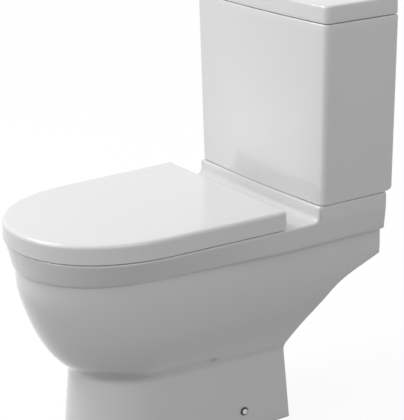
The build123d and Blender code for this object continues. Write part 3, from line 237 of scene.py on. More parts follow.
@dataclass(frozen=True)
class Glaze:
    """White glazed china: a soft even white under a clear glaze that is faintly uneven."""

    name: str = "white_glaze"
    colour: Colour = (0.80, 0.80, 0.80)
    shade: Colour = (0.775, 0.776, 0.774)
    biscuit: Colour = (0.66, 0.63, 0.57)
    glaze_foot: float = 0.0035

    def make(self) -> bpy.types.Material:
        """Build the material: tone and gloss wander slowly, and the foot rim is bare of glaze."""
        shader = Shader(self.name)
        edge = shader.height() + shader.noise(60.0) * 0.002
        reach = {0: edge, 1: self.glaze_foot, 2: self.glaze_foot + 0.001}
        glazed = shader.node("ShaderNodeMapRange", inputs=reach)
        white = shader.blend(shader.noise(6.0, 1.0), self.shade, self.colour)
        waves = shader.bump(shader.noise(9.0, 1.0), 0.0012)
        return shader.finish(
            shader.principled(
                Base_Color=shader.blend(glazed, self.biscuit, white),
                Roughness=(1 - glazed) * 0.55 + shader.noise(18.0) * 0.06 + 0.07,
                Coat_Weight=glazed * 0.5,
                Coat_Roughness=0.12,
                Normal=shader.bump(shader.noise(420.0, 1.0), 0.000012, waves),
            )
        )


@dataclass(frozen=True)
class Finish:
    """A finish whose tone and gloss wander with noise over a fine grain.

    Every noise is given by its features to the metre, its octaves and, where it is stretched, its
    scale by axis.
    """

    name: str
    colour: Colour
    shade: Colour
    roughness: float
    spread: float
    tone: Noise
    gloss: Noise
    grain: Noise
    depth: float
    metallic: float = 0.0
    coat: Tuple[float, float] = (0.0, 0.03)

    def make(self) -> bpy.types.Material:
        """Build the material: the depth is the grain's height in metres."""
        shader = Shader(self.name)
        return shader.finish(
            shader.principled(
                Base_Color=shader.blend(shader.noise(*self.tone), self.shade, self.colour),
                Metallic=self.metallic,
                Roughness=shader.noise(*self.gloss) * self.spread + self.roughness,
                Coat_Weight=self.coat[0],
                Coat_Roughness=self.coat[1],
                Normal=shader.bump(shader.noise(*self.grain), self.depth),
            )
        )


def metal(
    name: str, colour: Colour, shade: Colour, roughness: float, spread: float, upward: int,
    depth: float,
) -> Finish:
    """Give a metal finish: gloss and height follow fine marks, closer upward by a factor."""
    marks = (300.0, 3.0, (1, 1, upward))
    return Finish(name, colour, shade, roughness, spread, (40.0,), marks, marks, depth, 1.0)


def moulding(
    name: str, colour: Colour, shade: Colour, roughness: float, grain: float, depth: float
) -> Finish:
    """Give a moulded plastic or rubber: a mottled tone and gloss and a grained surface."""
    mottle = (35.0, 3.0)
    return Finish(name, colour, shade, roughness, 0.15, mottle, mottle, (grain,), depth)


# Biscuit is the inside of the casting, where a thin wash of glaze leaves a dry greyish white. The
# seat's plastic is an even white with slight flow marks and faint hand scuffs in its gloss.
BISCUIT = Finish(
    "thin_glaze", (0.70, 0.69, 0.66), (0.58, 0.56, 0.52), 0.4, 0.3, (14.0, 4.0), (14.0, 4.0),
    (700.0, 3.0), 0.00008,
)
SEAT_GLOSS = Finish(
    "seat_gloss", (0.82, 0.82, 0.82), (0.80, 0.80, 0.80), 0.12, 0.10, (5.0, 1.0),
    (90.0, 5.0, (1.0, 0.25, 1.0)), (12.0, 1.0), 0.0004, coat=(0.25, 0.08),
)
CHROME = ("chrome_plate", (0.80, 0.80, 0.81), (0.74, 0.75, 0.77), 0.05, 0.06, 1, 0.000002)
ZINC = ("bright_zinc", (0.62, 0.62, 0.63), (0.50, 0.52, 0.56), 0.26, 0.2, 6, 0.00002)
BRASS = ("turned_brass", (0.72, 0.56, 0.30), (0.60, 0.45, 0.22), 0.22, 0.2, 8, 0.00002)
RUBBER = ("black_rubber", (0.06, 0.06, 0.06), (0.04, 0.04, 0.04), 0.6, 900.0, 0.00006)
VALVE = ("valve_plastic", (0.78, 0.78, 0.75), (0.70, 0.70, 0.66), 0.35, 500.0, 0.00003)
LEVER = ("lever_plastic", (0.16, 0.30, 0.55), (0.12, 0.24, 0.46), 0.35, 500.0, 0.00003)
DARK = ("dark_plastic", (0.10, 0.10, 0.11), (0.07, 0.07, 0.08), 0.42, 600.0, 0.00004)
FINISHES = {
    Slot.CHINA: Glaze(),
    Slot.SEAT: SEAT_GLOSS,
    Slot.CHROME: metal(*CHROME),
    Slot.ZINC: metal(*ZINC),
    Slot.BRASS: metal(*BRASS),
    Slot.RUBBER: moulding(*RUBBER),
    Slot.VALVE: moulding(*VALVE),
    Slot.LEVER: moulding(*LEVER),
    Slot.DARK: moulding(*DARK),
}


# Surfaces as arrays of points, in millimetres


def smooth_through(knots: Sequence[float], values: Sequence[float], at: np.ndarray) -> np.ndarray:
    """Run a cubic curve through values given at rising knots.

    Each span is a cubic Hermite curve whose end slopes are the mean slopes of its neighbours.

    Args:
        knots: places of the values.
        values: the values.
        at: where to read the curve.

    Returns:
        The curve's values.
    """
    places, heights = np.asarray(knots, float), np.asarray(values, float)
    slopes = np.gradient(heights, places)
    span = np.clip(np.searchsorted(places, at, side="right") - 1, 0, len(places) - 2)
    width = places[span + 1] - places[span]
    t = np.clip((at - places[span]) / width, 0.0, 1.0)
    return (
        (2 * t**3 - 3 * t**2 + 1) * heights[span]
        + (t**3 - 2 * t**2 + t) * width * slopes[span]
        + (3 * t**2 - 2 * t**3) * heights[span + 1]
        + (t**3 - t**2) * width * slopes[span + 1]
    )


def ease(low: float, high: float, at: np.ndarray) -> np.ndarray:
    """Rise smoothly from 0 at low to 1 at high."""
    t = np.clip((at - low) / (high - low), 0.0, 1.0)
    return t * t * (3 - 2 * t)


def between(start: np.ndarray, end: np.ndarray, steps: int) -> np.ndarray:
    """Join two rows of points by straight lines of so many points, along a new axis."""
    t = np.linspace(0.0, 1.0, steps)[:, None]
    return start[..., None, :] * (1 - t) + end[..., None, :] * t


def corner(before: np.ndarray, at: np.ndarray, after: np.ndarray, steps: int) -> np.ndarray:
    """Round corners: the conic that leaves one point towards the corner and arrives at the other.

    The conic's weight is the cosine of half the turn, which makes it a circular arc where both
    legs are equally long.

    Args:
        before, at, after: points of shape (..., axes).
        steps: points on each corner.

    Returns:
        Points of shape (..., steps, axes).
    """
    first, second = at - before, after - at
    lengths = np.linalg.norm(first, axis=-1) * np.linalg.norm(second, axis=-1)
    cosine = np.sum(first * second, axis=-1) / np.maximum(lengths, 1e-9)
    weight = np.sqrt(np.clip((1 + cosine) / 2, 0.0, 1.0))[..., None, None]
    t = np.linspace(0.0, 1.0, steps)[:, None]
    shares = (1 - t) ** 2, 2 * weight * t * (1 - t), t**2
    mixed = sum(share * point[..., None, :] for share, point in zip(shares, (before, at, after)))
    return mixed / sum(shares)


def join(*parts: np.ndarray) -> np.ndarray:
    """Put columns side by side, dropping each later part's first one, which repeats."""
    return np.concatenate([parts[0]] + [part[..., 1:, :] for part in parts[1:]], axis=-2)


def course(rings: Sequence[np.ndarray], moves: Sequence[int]) -> np.ndarray:
    """Join rings in order by straight and rounded parts.

    Args:
        rings: rows of points, row for row.
        moves: points on each part. A positive number runs straight to the next ring. A negative
            one rounds the corner at the next ring and ends at the one after it.

    Returns:
        Points, rows by columns.
    """
    parts, at = [], 0
    for move in moves:
        reach = 2 if move < 0 else 1
        make = corner if move < 0 else between
        parts.append(make(*rings[at: at + reach + 1], abs(move)))
        at += reach
    return join(*parts)


def arc_shares(points: np.ndarray) -> np.ndarray:
    """Give how far along its line each point lies, from 0 to 1."""
    steps = np.linalg.norm(np.diff(points, axis=0), axis=1)
    lengths = np.concatenate([[0.0], np.cumsum(steps)])
    return lengths / lengths[-1]


def pairs(first: Value, second: Value) -> np.ndarray:
    """Give rows of two numbers. Either may be one number for all rows."""
    return np.stack(np.broadcast_arrays(first, second), axis=-1)


def arc(centre: Sequence[float], radius: float, turn: np.ndarray) -> np.ndarray:
    """Give points of a circle: centre + radius (cos turn, sin turn)."""
    return pairs(np.cos(turn), np.sin(turn)) * radius + centre


def row_frame(x: Value, ahead: Value, z: Value) -> np.ndarray:
    """Stack x, distance in front of the wall and height into points of the row frame."""
    x, ahead, z = np.broadcast_arrays(x, ahead, z)
    return np.stack([x, WALL - ahead, z], axis=-1)


def lifted(loop: np.ndarray, height: Value) -> np.ndarray:
    """Set a plan loop, of half widths and distances, at a height or at one for each row."""
    return row_frame(loop[..., 0], loop[..., 1], height)


def plan_circle(radius: float, ahead: float, turn: np.ndarray) -> np.ndarray:
    """Give a plan circle about the middle plane: half width r sin t, distance ahead + r cos t."""
    return arc((ahead, 0.0), radius, turn)[:, ::-1]


def circle_loop(loop: np.ndarray, radius: float, ahead: float) -> np.ndarray:
    """Give a half circle that meets a plan loop row for row, by the direction of each point."""
    turn = np.arctan2(loop[:, 0], loop[:, 1] - ahead)
    turn[0], turn[-1] = 0.0, math.pi
    return plan_circle(radius, ahead, turn)


def nose_curve(
    turn: np.ndarray, half: Value, mid: Value, tip: Value, power: Value, slope: Value
) -> Tuple[np.ndarray, np.ndarray]:
    """Round a nose with a superellipse that starts along the side's own direction.

    With s = sin(turn)^(2/power), the half width is half cos(turn)^(2/power) plus the shear
    slope (tip - mid) s (1 - s)^2, and the distance is mid + (tip - mid) s.

    Args:
        turn: angles, from 0 at the side to a quarter turn at the tip.
        half, mid, tip: half width and distance where the nose starts, and distance of its tip.
        power: the superellipse's power.
        slope: the side's change of half width with distance.

    Returns:
        Half widths and distances.
    """
    forward = np.sin(turn) ** (2 / power)
    cosine = np.where(turn < QUARTER - 1e-9, np.cos(turn), 0.0)
    shear = slope * (tip - mid) * forward * (1 - forward) ** 2
    return half * cosine ** (2 / power) + shear, mid + (tip - mid) * forward


def oval(level: Sequence[Value], turn: np.ndarray) -> Tuple[np.ndarray, np.ndarray]:
    """Give points of an oval: two half superellipses that meet at its widest place.

    Args:
        level: rear, middle, nose, half width and power.
        turn: angles from the nose, 0, to the rear, half a turn.

    Returns:
        Half widths and distances.
    """
    rear, mid, nose, half, power = level
    sine = np.clip(np.sin(turn), 0.0, 1.0)
    cosine = np.cos(turn)
    width = half * np.where(sine < 1e-9, 0.0, sine) ** (2 / power)
    reach = np.where(cosine > 0, nose - mid, mid - rear)
    return width, mid + np.sign(cosine) * reach * np.abs(cosine) ** (2 / power)


def oval_ring(
    level: Sequence[float], outset: float, height: float, turn: np.ndarray
) -> np.ndarray:
    """Give an oval's points at one height, let out by an outset."""
    rear, mid, nose, half, power = level
    grown = (rear - outset, mid, nose + outset, half + outset, power)
    return row_frame(*oval(grown, turn), height)


def oval_turns(level: Sequence[float], loop: np.ndarray) -> np.ndarray:
    """Give the turns at which an oval's points share out its length as a loop's points do."""
    dense = np.linspace(0.0, math.pi, 721)
    turn = np.interp(arc_shares(loop), arc_shares(pairs(*oval(level, dense))), dense)
    turn[-1] = math.pi
    return turn


def rounded(points: Sequence[Sequence[float]], cuts: Sequence[float], steps: int = 5) -> np.ndarray:
    """Round the inner corners of an open line.

    Args:
        points: the line's corners.
        cuts: how far back each inner corner is cut on both sides. Zero leaves it sharp.
        steps: points on each rounded corner.

    Returns:
        The line's points.
    """
    corners = np.asarray(points, float)
    line = [corners[:1]]
    for index, cut in enumerate(cuts, start=1):
        before, at, after = corners[index - 1], corners[index], corners[index + 1]
        back = at + (before - at) / np.linalg.norm(before - at) * cut
        ahead = at + (after - at) / np.linalg.norm(after - at) * cut
        line.append(corner(back, at, ahead, steps) if cut else at[None])
    line.append(corners[-1:])
    return np.concatenate(line)


def bar(section: np.ndarray, start: float, end: float, bevel: float) -> np.ndarray:
    """Carry a closed section along X, with rounded and closed ends.

    The section shrinks towards its middle by the depth of a quarter circle at both ends.

    Args:
        section: points of distance from the wall and height.
        start, end: x of the two ends.
        bevel: radius of the rounded ends.

    Returns:
        A grid whose rows go round the section, to be added as a ring.
    """
    middle = section.mean(axis=0)
    spokes = middle - section
    spokes = spokes / np.linalg.norm(spokes, axis=1, keepdims=True)
    turn = np.linspace(0.0, QUARTER, 5)
    depth = bevel * (1 - np.sin(turn))
    run = bevel * (1 - np.cos(turn))
    places = np.concatenate([[start], start + run, end - run[::-1], [end]])
    depths = np.concatenate([[0.0], depth, depth[::-1], [0.0]])
    grid = section[:, None, :] + spokes[:, None, :] * depths[None, :, None]
    grid[:, 0] = grid[:, -1] = middle
    return row_frame(places, grid[..., 0], grid[..., 1])


@dataclass
class Shape:
    """Grids of points that are welded into one mesh, mirrored in X where asked."""

    name: str
    mirrored: bool = False
    sharp: float = 38.0
    grids: List[Tuple[np.ndarray, int]] = field(default_factory=list)

    def add(self, points: np.ndarray, ring: bool = False, finish: int = 0) -> None:
        """Add a grid.

        Args:
            points: rows and columns of points in the row frame.
            ring: whether the last row joins the first.
            finish: which of the piece's materials it takes.
        """
        if ring:
            points = np.concatenate([points, points[:1]])
        self.grids.append((points, finish))

    def turn(
        self, profile: np.ndarray, centre: Sequence[float], steps: int, sideways: bool = False
    ) -> None:
        """Add a profile turned about the vertical axis or about X.

        A point of the profile at radius r and height h becomes centre + h axis + r (cos a, sin a)
        in the plane across the axis.

        Args:
            profile: rows of radius and height along the axis.
            centre: x, distance and height of a point on the axis.
            steps: turns in the full circle.
            sideways: whether the axis is X.
        """
        turns = np.arange(steps)[:, None, None] * (2 * math.pi / steps)
        along = np.array([1.0, 0.0, 0.0] if sideways else [0.0, 0.0, 1.0])
        side = np.roll(along, 1)
        across = np.cross(along, side)
        radius, height = profile[None, :, 0, None], profile[None, :, 1, None]
        spin = np.cos(turns) * side + np.sin(turns) * across
        self.add(row_frame(*centre) + height * along + radius * spin, ring=True)

    def _arrays(self) -> Tuple[np.ndarray, np.ndarray, np.ndarray]:
        """Give all corners, all four-sided faces and their finishes as arrays."""
        corners, faces, finishes = [], [], []
        count = 0
        for points, finish in self.grids:
            rows, columns = points.shape[:2]
            index = count + np.arange(rows * columns).reshape(rows, columns)
            quads = (index[:-1, :-1], index[1:, :-1], index[1:, 1:], index[:-1, 1:])
            corners.append(points.reshape(-1, 3))
            faces.append(np.stack(quads, axis=-1).reshape(-1, 4))
            finishes.append(np.full(len(faces[-1]), finish))
            count += rows * columns
        places, quads, kinds = (np.concatenate(parts) for parts in (corners, faces, finishes))
        if self.mirrored:
            quads = np.concatenate([quads, quads[:, ::-1] + len(places)])
            places = np.concatenate([places, places * (-1, 1, 1)])
            kinds = np.concatenate([kinds, kinds])
        return places, quads, kinds

    def build(self) -> bpy.types.Object:
        """Weld the grids, turn the faces outwards and make the object.

        Returns:
            The object, at the origin.
        """
        places, quads, kinds = self._arrays()
        mesh = bpy.data.meshes.new(self.name)
        mesh.vertices.add(len(places))
        mesh.vertices.foreach_set("co", (places * MM).astype(np.float32).ravel())
        mesh.loops.add(quads.size)
        mesh.loops.foreach_set("vertex_index", quads.astype(np.int32).ravel())
        mesh.polygons.add(len(quads))
        mesh.polygons.foreach_set("loop_start", np.arange(0, quads.size, 4, dtype=np.int32))
        mesh.polygons.foreach_set("material_index", kinds.astype(np.int32))
        mesh.update(calc_edges=True)
        work = bmesh.new()
        work.from_mesh(mesh)
        bmesh.ops.remove_doubles(work, verts=work.verts, dist=0.002 * MM)
        bmesh.ops.dissolve_degenerate(work, edges=work.edges, dist=0.0005 * MM)
        loose = [vertex for vertex in work.verts if not vertex.link_faces]
        bmesh.ops.delete(work, geom=loose, context="VERTS")
        wires = [edge for edge in work.edges if not edge.link_faces]
        bmesh.ops.delete(work, geom=wires, context="EDGES")
        bmesh.ops.recalc_face_normals(work, faces=work.faces)
        opened = sum(1 for edge in work.edges if len(edge.link_faces) != 2)
        work.to_mesh(mesh)
        work.free()
        mesh.shade_smooth()
        mesh.set_sharp_from_angle(angle=math.radians(self.sharp))
        LOG.info("%s: %d faces, %d open edges", self.name, len(mesh.polygons), opened)
        made = bpy.data.objects.new(self.name, mesh)
        bpy.context.scene.collection.objects.link(made)
        return made


# Pieces


@dataclass
class Piece:
    """What a finished object rides on, is made of and stands for."""

    body: Body
    slot: Slot
    replaces: Tuple[str, ...]

    def place(self, made: bpy.types.Object, materials: Sequence[bpy.types.Material]) -> None:
        """Dress the object, put it on its body and hide the frame nodes that it replaces.

        Args:
            made: the object.
            materials: its materials, in the order of its finishes.
        """
        for material in materials:
            made.data.materials.append(material)
        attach(made, self.body.value)
        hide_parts(*self.replaces)


@dataclass
class PlanRows:
    """The rows of the pan's outer surface, counted from the wall forward and round the nose.

    The straight rows follow the top's side profile: platform, riser, deck and rim. The nose rows
    follow a quarter turn.
    """

    rear: float = 13.4
    mid: float = 454.0
    riser: float = 165.0
    platform: float = 427.0
    rim: float = 400.0
    edge: float = 4.0
    foot: float = 12.0
    seam: float = 258.0
    end_radius: float = 2.5
    end_rows: int = 5
    nose_rows: int = 44

    def profile(self, drop: float) -> Tuple[np.ndarray, np.ndarray]:
        """Give the side profile of the top, or of its underside.

        It runs level along the platform, over a quarter circle, down the riser, round a hollow
        quarter circle and level along the rim.

        Args:
            drop: how far inside the top's surface it runs.

        Returns:
            Points of distance and height, and their outward normals.
        """
        riser, high, low = self.riser - drop, self.platform - drop, self.rim - drop
        quarter = arc((0.0, 0.0), 1.0, np.linspace(QUARTER, 0.0, 7))
        hollow = arc((0.0, 0.0), 1.0, np.linspace(math.pi, 3 * QUARTER, 9))
        level = np.linspace(self.rear + self.end_radius, riser - self.edge, 15)[:-1]
        fall = np.linspace(high - self.edge, low + self.foot, 5)[1:-1]
        deck = np.linspace(riser + self.foot, self.seam, 11)[1:]
        front = np.linspace(self.seam, self.mid, 25)[1:]
        flat = np.concatenate([deck, front])
        parts = (
            (pairs(level, high), np.tile((0.0, 1.0), (len(level), 1))),
            (quarter * self.edge + (riser - self.edge, high - self.edge), quarter),
            (pairs(riser, fall), np.tile((1.0, 0.0), (len(fall), 1))),
            (hollow * self.foot + (riser + self.foot, low + self.foot), -hollow),
            (pairs(flat, low), np.tile((0.0, 1.0), (len(flat), 1))),
        )
        line, outward = (np.concatenate(columns) for columns in zip(*parts))
        ends = self.end_rows - 1
        start = pairs(self.rear + self.end_run[:-1], high)
        return np.concatenate([start, line]), np.concatenate([outward[:1].repeat(ends, 0), outward])

    @property
    def end_inset(self) -> np.ndarray:
        """How far the surface is drawn in on the rows that round the rear edge."""
        return self.end_radius * (1 - np.sin(np.linspace(0.0, QUARTER, self.end_rows)))

    @property
    def end_run(self) -> np.ndarray:
        """How far from the rear edge those rows lie."""
        return self.end_radius * (1 - np.cos(np.linspace(0.0, QUARTER, self.end_rows)))

    @property
    def shares(self) -> np.ndarray:
        """Where each straight row lies from the rear edge's rounding, 0, to the nose, 1."""
        ends = self.end_rows - 1
        return np.concatenate([np.zeros(ends), arc_shares(self.profile(0.0)[0][ends:])])

    @property
    def inset(self) -> np.ndarray:
        """How far each row is drawn in by the rounding of the rear edge."""
        drawn = np.zeros(len(self.shares) + self.nose_rows)
        drawn[: self.end_rows] = self.end_inset
        return drawn

    @property
    def run(self) -> np.ndarray:
        """How far each straight row is set forward by that rounding."""
        forward = np.full(len(self.shares), self.end_radius)
        forward[: self.end_rows] = self.end_run
        return forward

    @property
    def seam_row(self) -> int:
        """The row at which the rear deck meets the bowl's surround."""
        return int(np.argmin(np.abs(self.profile(0.0)[0] - (self.seam, self.rim)).sum(axis=1)))


@dataclass
class PanCasting:
    """The china pan: pedestal, body, band, deck, bowl, trap and spigot in one closed surface.

    All sizes are in millimetres. Lengths named rear, mid and nose are distances from the wall.
    The foot and the band's two outlines hold half width at the rear, half width at the middle,
    nose, middle and power, and the body's levels hold the same after their height. The bowl's
    levels hold height, rear, middle, nose, half width and power, and the opening the same with
    no height. The slants hold height and distance of the rear edge.
    """

    rows: PlanRows = field(default_factory=PlanRows)
    body: Levels = (
        (148.5, 103.0, 103.0, 557.5, 437.5, 2.0),
        (185.85, 128.0, 125.0, 589.5, 446.0, 2.05),
        (226.3, 151.0, 141.0, 613.0, 446.0, 2.05),
        (273.0, 165.0, 150.5, 631.5, 446.0, 2.05),
        (314.5, 170.0, 155.0, 643.0, 446.0, 2.05),
        (356.0, 170.0, 155.2, 643.5, 454.0, 2.13),
    )
    foot: Tuple[float, ...] = (106.0, 106.0, 574.5, 454.5, 2.0)
    foot_edge: float = 3.0
    slope: float = 0.037
    slope_mid: float = 176.0
    draw_in: float = -5.0
    wall: float = 12.0
    deck: float = 14.0
    band: float = 356.0
    band_low: Tuple[float, ...] = (179.9, 159.2, 647.5, 454.0, 2.13)
    band_high: Tuple[float, ...] = (184.9, 179.2, 655.5, 454.0, 2.13)
    band_edge: float = 4.5
    shoulder: float = 235.0
    soft: float = 20.0
    slants: Levels = ((146.0, 181.0), (193.0, 160.0), (234.0, 130.0), (276.0, 84.0), (308.0, 13.4))
    foot_rear: float = 170.0
    crease_cut: float = 7.0
    under_band: float = 352.0
    columns: int = 15
    first: int = 5
    bowl_levels: Levels = (
        (174.0, 402.0, 440.0, 478.0, 38.0, 2.0),
        (200.0, 390.0, 453.0, 516.0, 66.0, 2.0),
        (250.0, 368.0, 468.0, 568.0, 100.0, 2.2),
        (300.0, 328.0, 467.5, 607.0, 128.0, 2.2),
        (352.0, 277.0, 452.0, 633.0, 143.0, 2.2),
    )
    opening: Tuple[float, ...] = (300.0, 452.0, 610.0, 120.0, 2.2)
    lip_foot: float = 352.0
    trough: float = 384.0
    bowl_wall: float = 9.0
    nose_ceiling: float = 316.0
    ceiling: float = 386.0
    ceiling_fall: Tuple[float, float, float] = (70.0, 290.0, 385.0)
    stretch_foot: float = 200.0
    bore: float = 38.0
    pipe: float = 47.0
    spigot: float = 51.0
    bend: float = 52.0
    bend_start: Tuple[float, float] = (388.0, 174.0)
    weir_bend: float = 196.0
    outlet: float = 180.0
    spigot_end: float = 125.0
    spigot_foot: float = 175.0

    def rear_cut(self, height: np.ndarray) -> np.ndarray:
        """Give the rear edge's distance: sloping pedestal, hollow slant, upright platform."""
        knots, ahead = np.array(self.slants).T
        low = self.foot_rear + (ahead[0] - self.foot_rear) * height / knots[0]
        return np.where(height < knots[0], low, smooth_through(knots, ahead, height))

    def side_line(
        self, ahead: np.ndarray, half_rear: Value, half_mid: Value, start: float, mid: Value
    ) -> np.ndarray:
        """Give the half width along the side: parallel up to the start, then straight to the nose.

        The two runs are joined by the parabola (past + soft)^2 / (4 soft).
        """
        past, soft = ahead - start, self.soft
        bent = np.where(past > soft, past, (past + soft) ** 2 / (4 * soft))
        bent = np.where(past < -soft, 0.0, bent)
        return half_rear + (half_mid - half_rear) / (mid - start) * bent

    def outline(
        self, level: Sequence[np.ndarray], ahead: np.ndarray, start: float
    ) -> Tuple[np.ndarray, np.ndarray]:
        """Give a level outline: the straight side, then the nose.

        Args:
            level: half width at the rear and at the middle, nose, middle and power.
            ahead: distances of the straight rows.
            start: where the side starts to draw in.

        Returns:
            Half widths and distances, one row each.
        """
        half_rear, half_mid, nose, mid, power = (np.atleast_1d(value) for value in level)
        side = self.side_line(ahead, half_rear, half_mid, start, mid)
        turn = np.linspace(0.0, QUARTER, self.rows.nose_rows + 1)[1:, None]
        slope = (half_mid - half_rear) / (mid - start)
        width, reach = nose_curve(turn, half_mid, mid, nose, power, slope)
        side, straight = np.broadcast_arrays(side, ahead)
        return np.concatenate([side, width]), np.concatenate([straight, reach])

    def drawn_in(self, inset: float) -> Tuple[float, ...]:
        """Give how much an inset takes off each number of an outline."""
        return inset, inset, inset, 0.0, 0.0

    def skin(self, heights: np.ndarray, inset: float) -> np.ndarray:
        """Give the surface from the foot to the band, at nominal heights.

        Below the crease the sections run straight from the foot's outline to the crease's, and
        above it they follow a smooth curve through the body's outlines. The crease is tilted, and
        its tilt fades above and below.

        Args:
            heights: nominal heights, one to a column.
            inset: how far inside the outer surface.

        Returns:
            Points, rows by columns.
        """
        rows = self.rows
        knots, *tables = np.array(self.body).T
        crease = knots[0]
        share = np.clip(heights / crease, 0.0, 1.0)
        level = []
        for low, table, less in zip(self.foot, tables, self.drawn_in(inset)):
            below = low + (table[0] - low) * share
            above = smooth_through(knots, table, heights)
            level.append(np.where(heights < crease, below, above)[None] - less)
        faded = np.clip((self.band - heights) / (self.band - crease), 0, 1) ** 8
        tilt = self.slope * np.where(heights < crease, share, faded)
        rear = self.rear_cut(heights - tilt * (WALL - self.slope_mid))
        reach = level[3] - rear - rows.end_radius
        straight = rear + rows.run[:, None] + reach * rows.shares[:, None]
        width, ahead = self.outline(level, straight, self.draw_in)
        width = width - (1.0 if inset == 0 else -1.0) * rows.inset[:, None]
        return row_frame(width, ahead, heights - tilt * (WALL - ahead))

    def skin_row(self, height: float, inset: float) -> np.ndarray:
        """Give the surface's rows at one nominal height."""
        return self.skin(np.array([height]), inset)[:, 0]

    def foot_rows(self, inset: float, edge: float) -> Tuple[np.ndarray, np.ndarray]:
        """Give the foot's outline inside its rounded edge, and at its corner.

        Args:
            inset: how far inside the outer surface the corner is.
            edge: how far the first outline is from the corner, more being inwards.

        Returns:
            Both outlines.
        """
        drawn = self.skin_row(0.0, inset + edge)
        drawn[:, 0] -= math.copysign(2.0, edge) * self.rows.inset
        return drawn, self.skin_row(0.0, inset)

    def band_point(self, ahead: np.ndarray, height: np.ndarray) -> np.ndarray:
        """Give the half width of the band on the straight rows, at a distance and a height."""
        low, high = (
            self.side_line(ahead, *outline[:2], self.shoulder, self.rows.mid)
            for outline in (self.band_low, self.band_high)
        )
        share = np.clip((height - self.band) / (self.rows.rim - self.band), 0.0, 1.0)
        return low + (high - low) * share

    def band_rows(self, height: float, inset: float = 0.0) -> np.ndarray:
        """Give the band's outline at a height no more than the rim's, on all rows."""
        rows = self.rows
        share = (height - self.band) / (rows.rim - self.band)
        level = [
            low + (high - low) * share - less
            for low, high, less in zip(self.band_low, self.band_high, self.drawn_in(inset))
        ]
        straight = rows.rear + rows.run + (rows.mid - rows.rear - rows.end_radius) * rows.shares
        width, ahead = self.outline(level, straight[:, None], self.shoulder)
        return row_frame(width - rows.inset[:, None], ahead, height)[:, 0]

    def top_edge(self) -> Tuple[np.ndarray, ...]:
        """Give the top edge's corner, and where its rounding leaves the side and reaches the top.

        Returns:
            Points on the side, at the corner and on the top, on all rows.
        """
        rows = self.rows
        line, normal = rows.profile(0.0)
        inset = rows.inset[: len(line)]
        line = line - normal * inset[:, None]
        line[: rows.end_rows, 0] = rows.rear + rows.end_run
        side, at = (
            row_frame(self.band_point(*spot.T) - inset, *spot.T)
            for spot in (line - normal * rows.edge, line)
        )
        nose = (
            self.band_rows(rows.rim - rows.edge),
            self.band_rows(rows.rim),
            self.band_rows(rows.rim, rows.edge),
        )
        straight = (side, at, at - (rows.edge, 0, 0))
        return tuple(np.concatenate([near, far[len(line):]]) for near, far in zip(straight, nose))

    def outer(self) -> np.ndarray:
        """Give the outer surface from under the foot to the deck's edge.

        Its columns go round the foot's edge, up the pedestal, through the soft crease, up the body,
        out under the band and up to the rounded top edge.
        """
        crease, cut, turned = self.body[0][0], self.crease_cut, self.slants[-1][0]
        low, high = np.linspace(crease + cut, turned, 26), np.linspace(turned, self.under_band, 8)
        pedestal = self.skin(np.linspace(self.foot_edge, crease - cut, 11), 0.0)
        rise = self.skin(np.concatenate([low, high[1:]]), 0.0)
        under, lip = self.skin_row(self.band - TINY, 0.0), self.band_rows(self.band)
        start = self.band_rows(self.band + self.band_edge)
        side, at, top = self.top_edge()
        face = between(start, side, 12)
        straight = face[: len(self.rows.shares)]
        straight[..., 0] = self.band_point(WALL - straight[..., 1], straight[..., 2])
        straight[..., 0] -= self.rows.inset[: len(straight), None]
        middle = (under + lip) / 2
        return join(
            corner(*self.foot_rows(0.0, self.foot_edge), pedestal[:, 0], self.first),
            pedestal,
            corner(pedestal[:, -1], self.skin_row(crease, 0.0), rise[:, 0], 9),
            rise,
            corner(rise[:, -1], under, middle, 5),
            corner(middle, lip, start, 6),
            face,
            corner(side, at, top, 7),
        )

    def inner(self, outer: np.ndarray) -> np.ndarray:
        """Give the inner surface, column for column with the outer one.

        The nominal heights of the outer surface are stretched so that each row ends under the
        deck or, past the seam, where the inner wall meets the bowl's outside.

        Args:
            outer: the outer surface.

        Returns:
            Points from under the foot up to the deck's underside or to the bowl.
        """
        rows, band, base = self.rows, self.band, self.stretch_foot
        ends, roof = rows.end_rows, rows.platform - self.deck
        nominal = np.minimum(outer[ends, self.first - 1:, 2], roof)
        under = rows.profile(self.deck)[0]
        count = len(under)
        under[:ends, 0] = rows.rear + rows.end_run
        under[:ends, 1] += rows.end_inset
        top = np.concatenate([under[:, 1], np.full(rows.nose_rows, self.nose_ceiling)])
        past = slice(rows.seam_row + 1, count)
        drop, start, end = self.ceiling_fall
        top[past] = self.ceiling - drop * ease(start, end, under[past, 0])
        scale = (top[:, None] - base) / (roof - base)
        height = np.where(nominal > base, base + (nominal - base) * scale, nominal)
        grid = np.stack([
            self.skin(np.minimum(row, band - TINY), self.wall)[index]
            for index, row in enumerate(height)
        ])
        above = height > band
        grid[..., 2] = np.where(above, height, grid[..., 2])
        grid_side, above, high = grid[:count], above[:count], top[:count, None]
        share = np.clip((height[:count] - band) / (high - band + 1e-9), 0, 1)
        ahead = WALL - grid_side[..., 1]
        ahead = ahead + (under[:, None, 0] - ahead) * share * (high > band)
        width = self.side_line(ahead, *self.body[-1][1:3], self.draw_in, rows.mid) - self.wall
        width = width + rows.inset[:count, None]
        grid_side[..., 1] = WALL - ahead
        grid_side[..., 0] = np.where(above, width, grid_side[..., 0])
        foot = self.foot_rows(self.wall, -self.foot_edge)
        return join(corner(*foot, grid[:, 0], self.first), grid)

    def bowl(self, height: np.ndarray, outset: Value, turn: np.ndarray) -> np.ndarray:
        """Give the bowl's surface: ovals whose sizes follow a smooth curve over the height.

        Args:
            height, outset: arrays that broadcast to rows by columns.
            turn: the rows' angles.

        Returns:
            Points, rows by columns.
        """
        knots, *tables = np.array(self.bowl_levels).T
        rear, mid, nose, half, power = (
            smooth_through(knots, table, np.minimum(height, knots[-1])) for table in tables
        )
        grown = (rear - outset, mid, nose + outset, half + outset, power)
        return row_frame(*oval(grown, turn[:, None]), height)

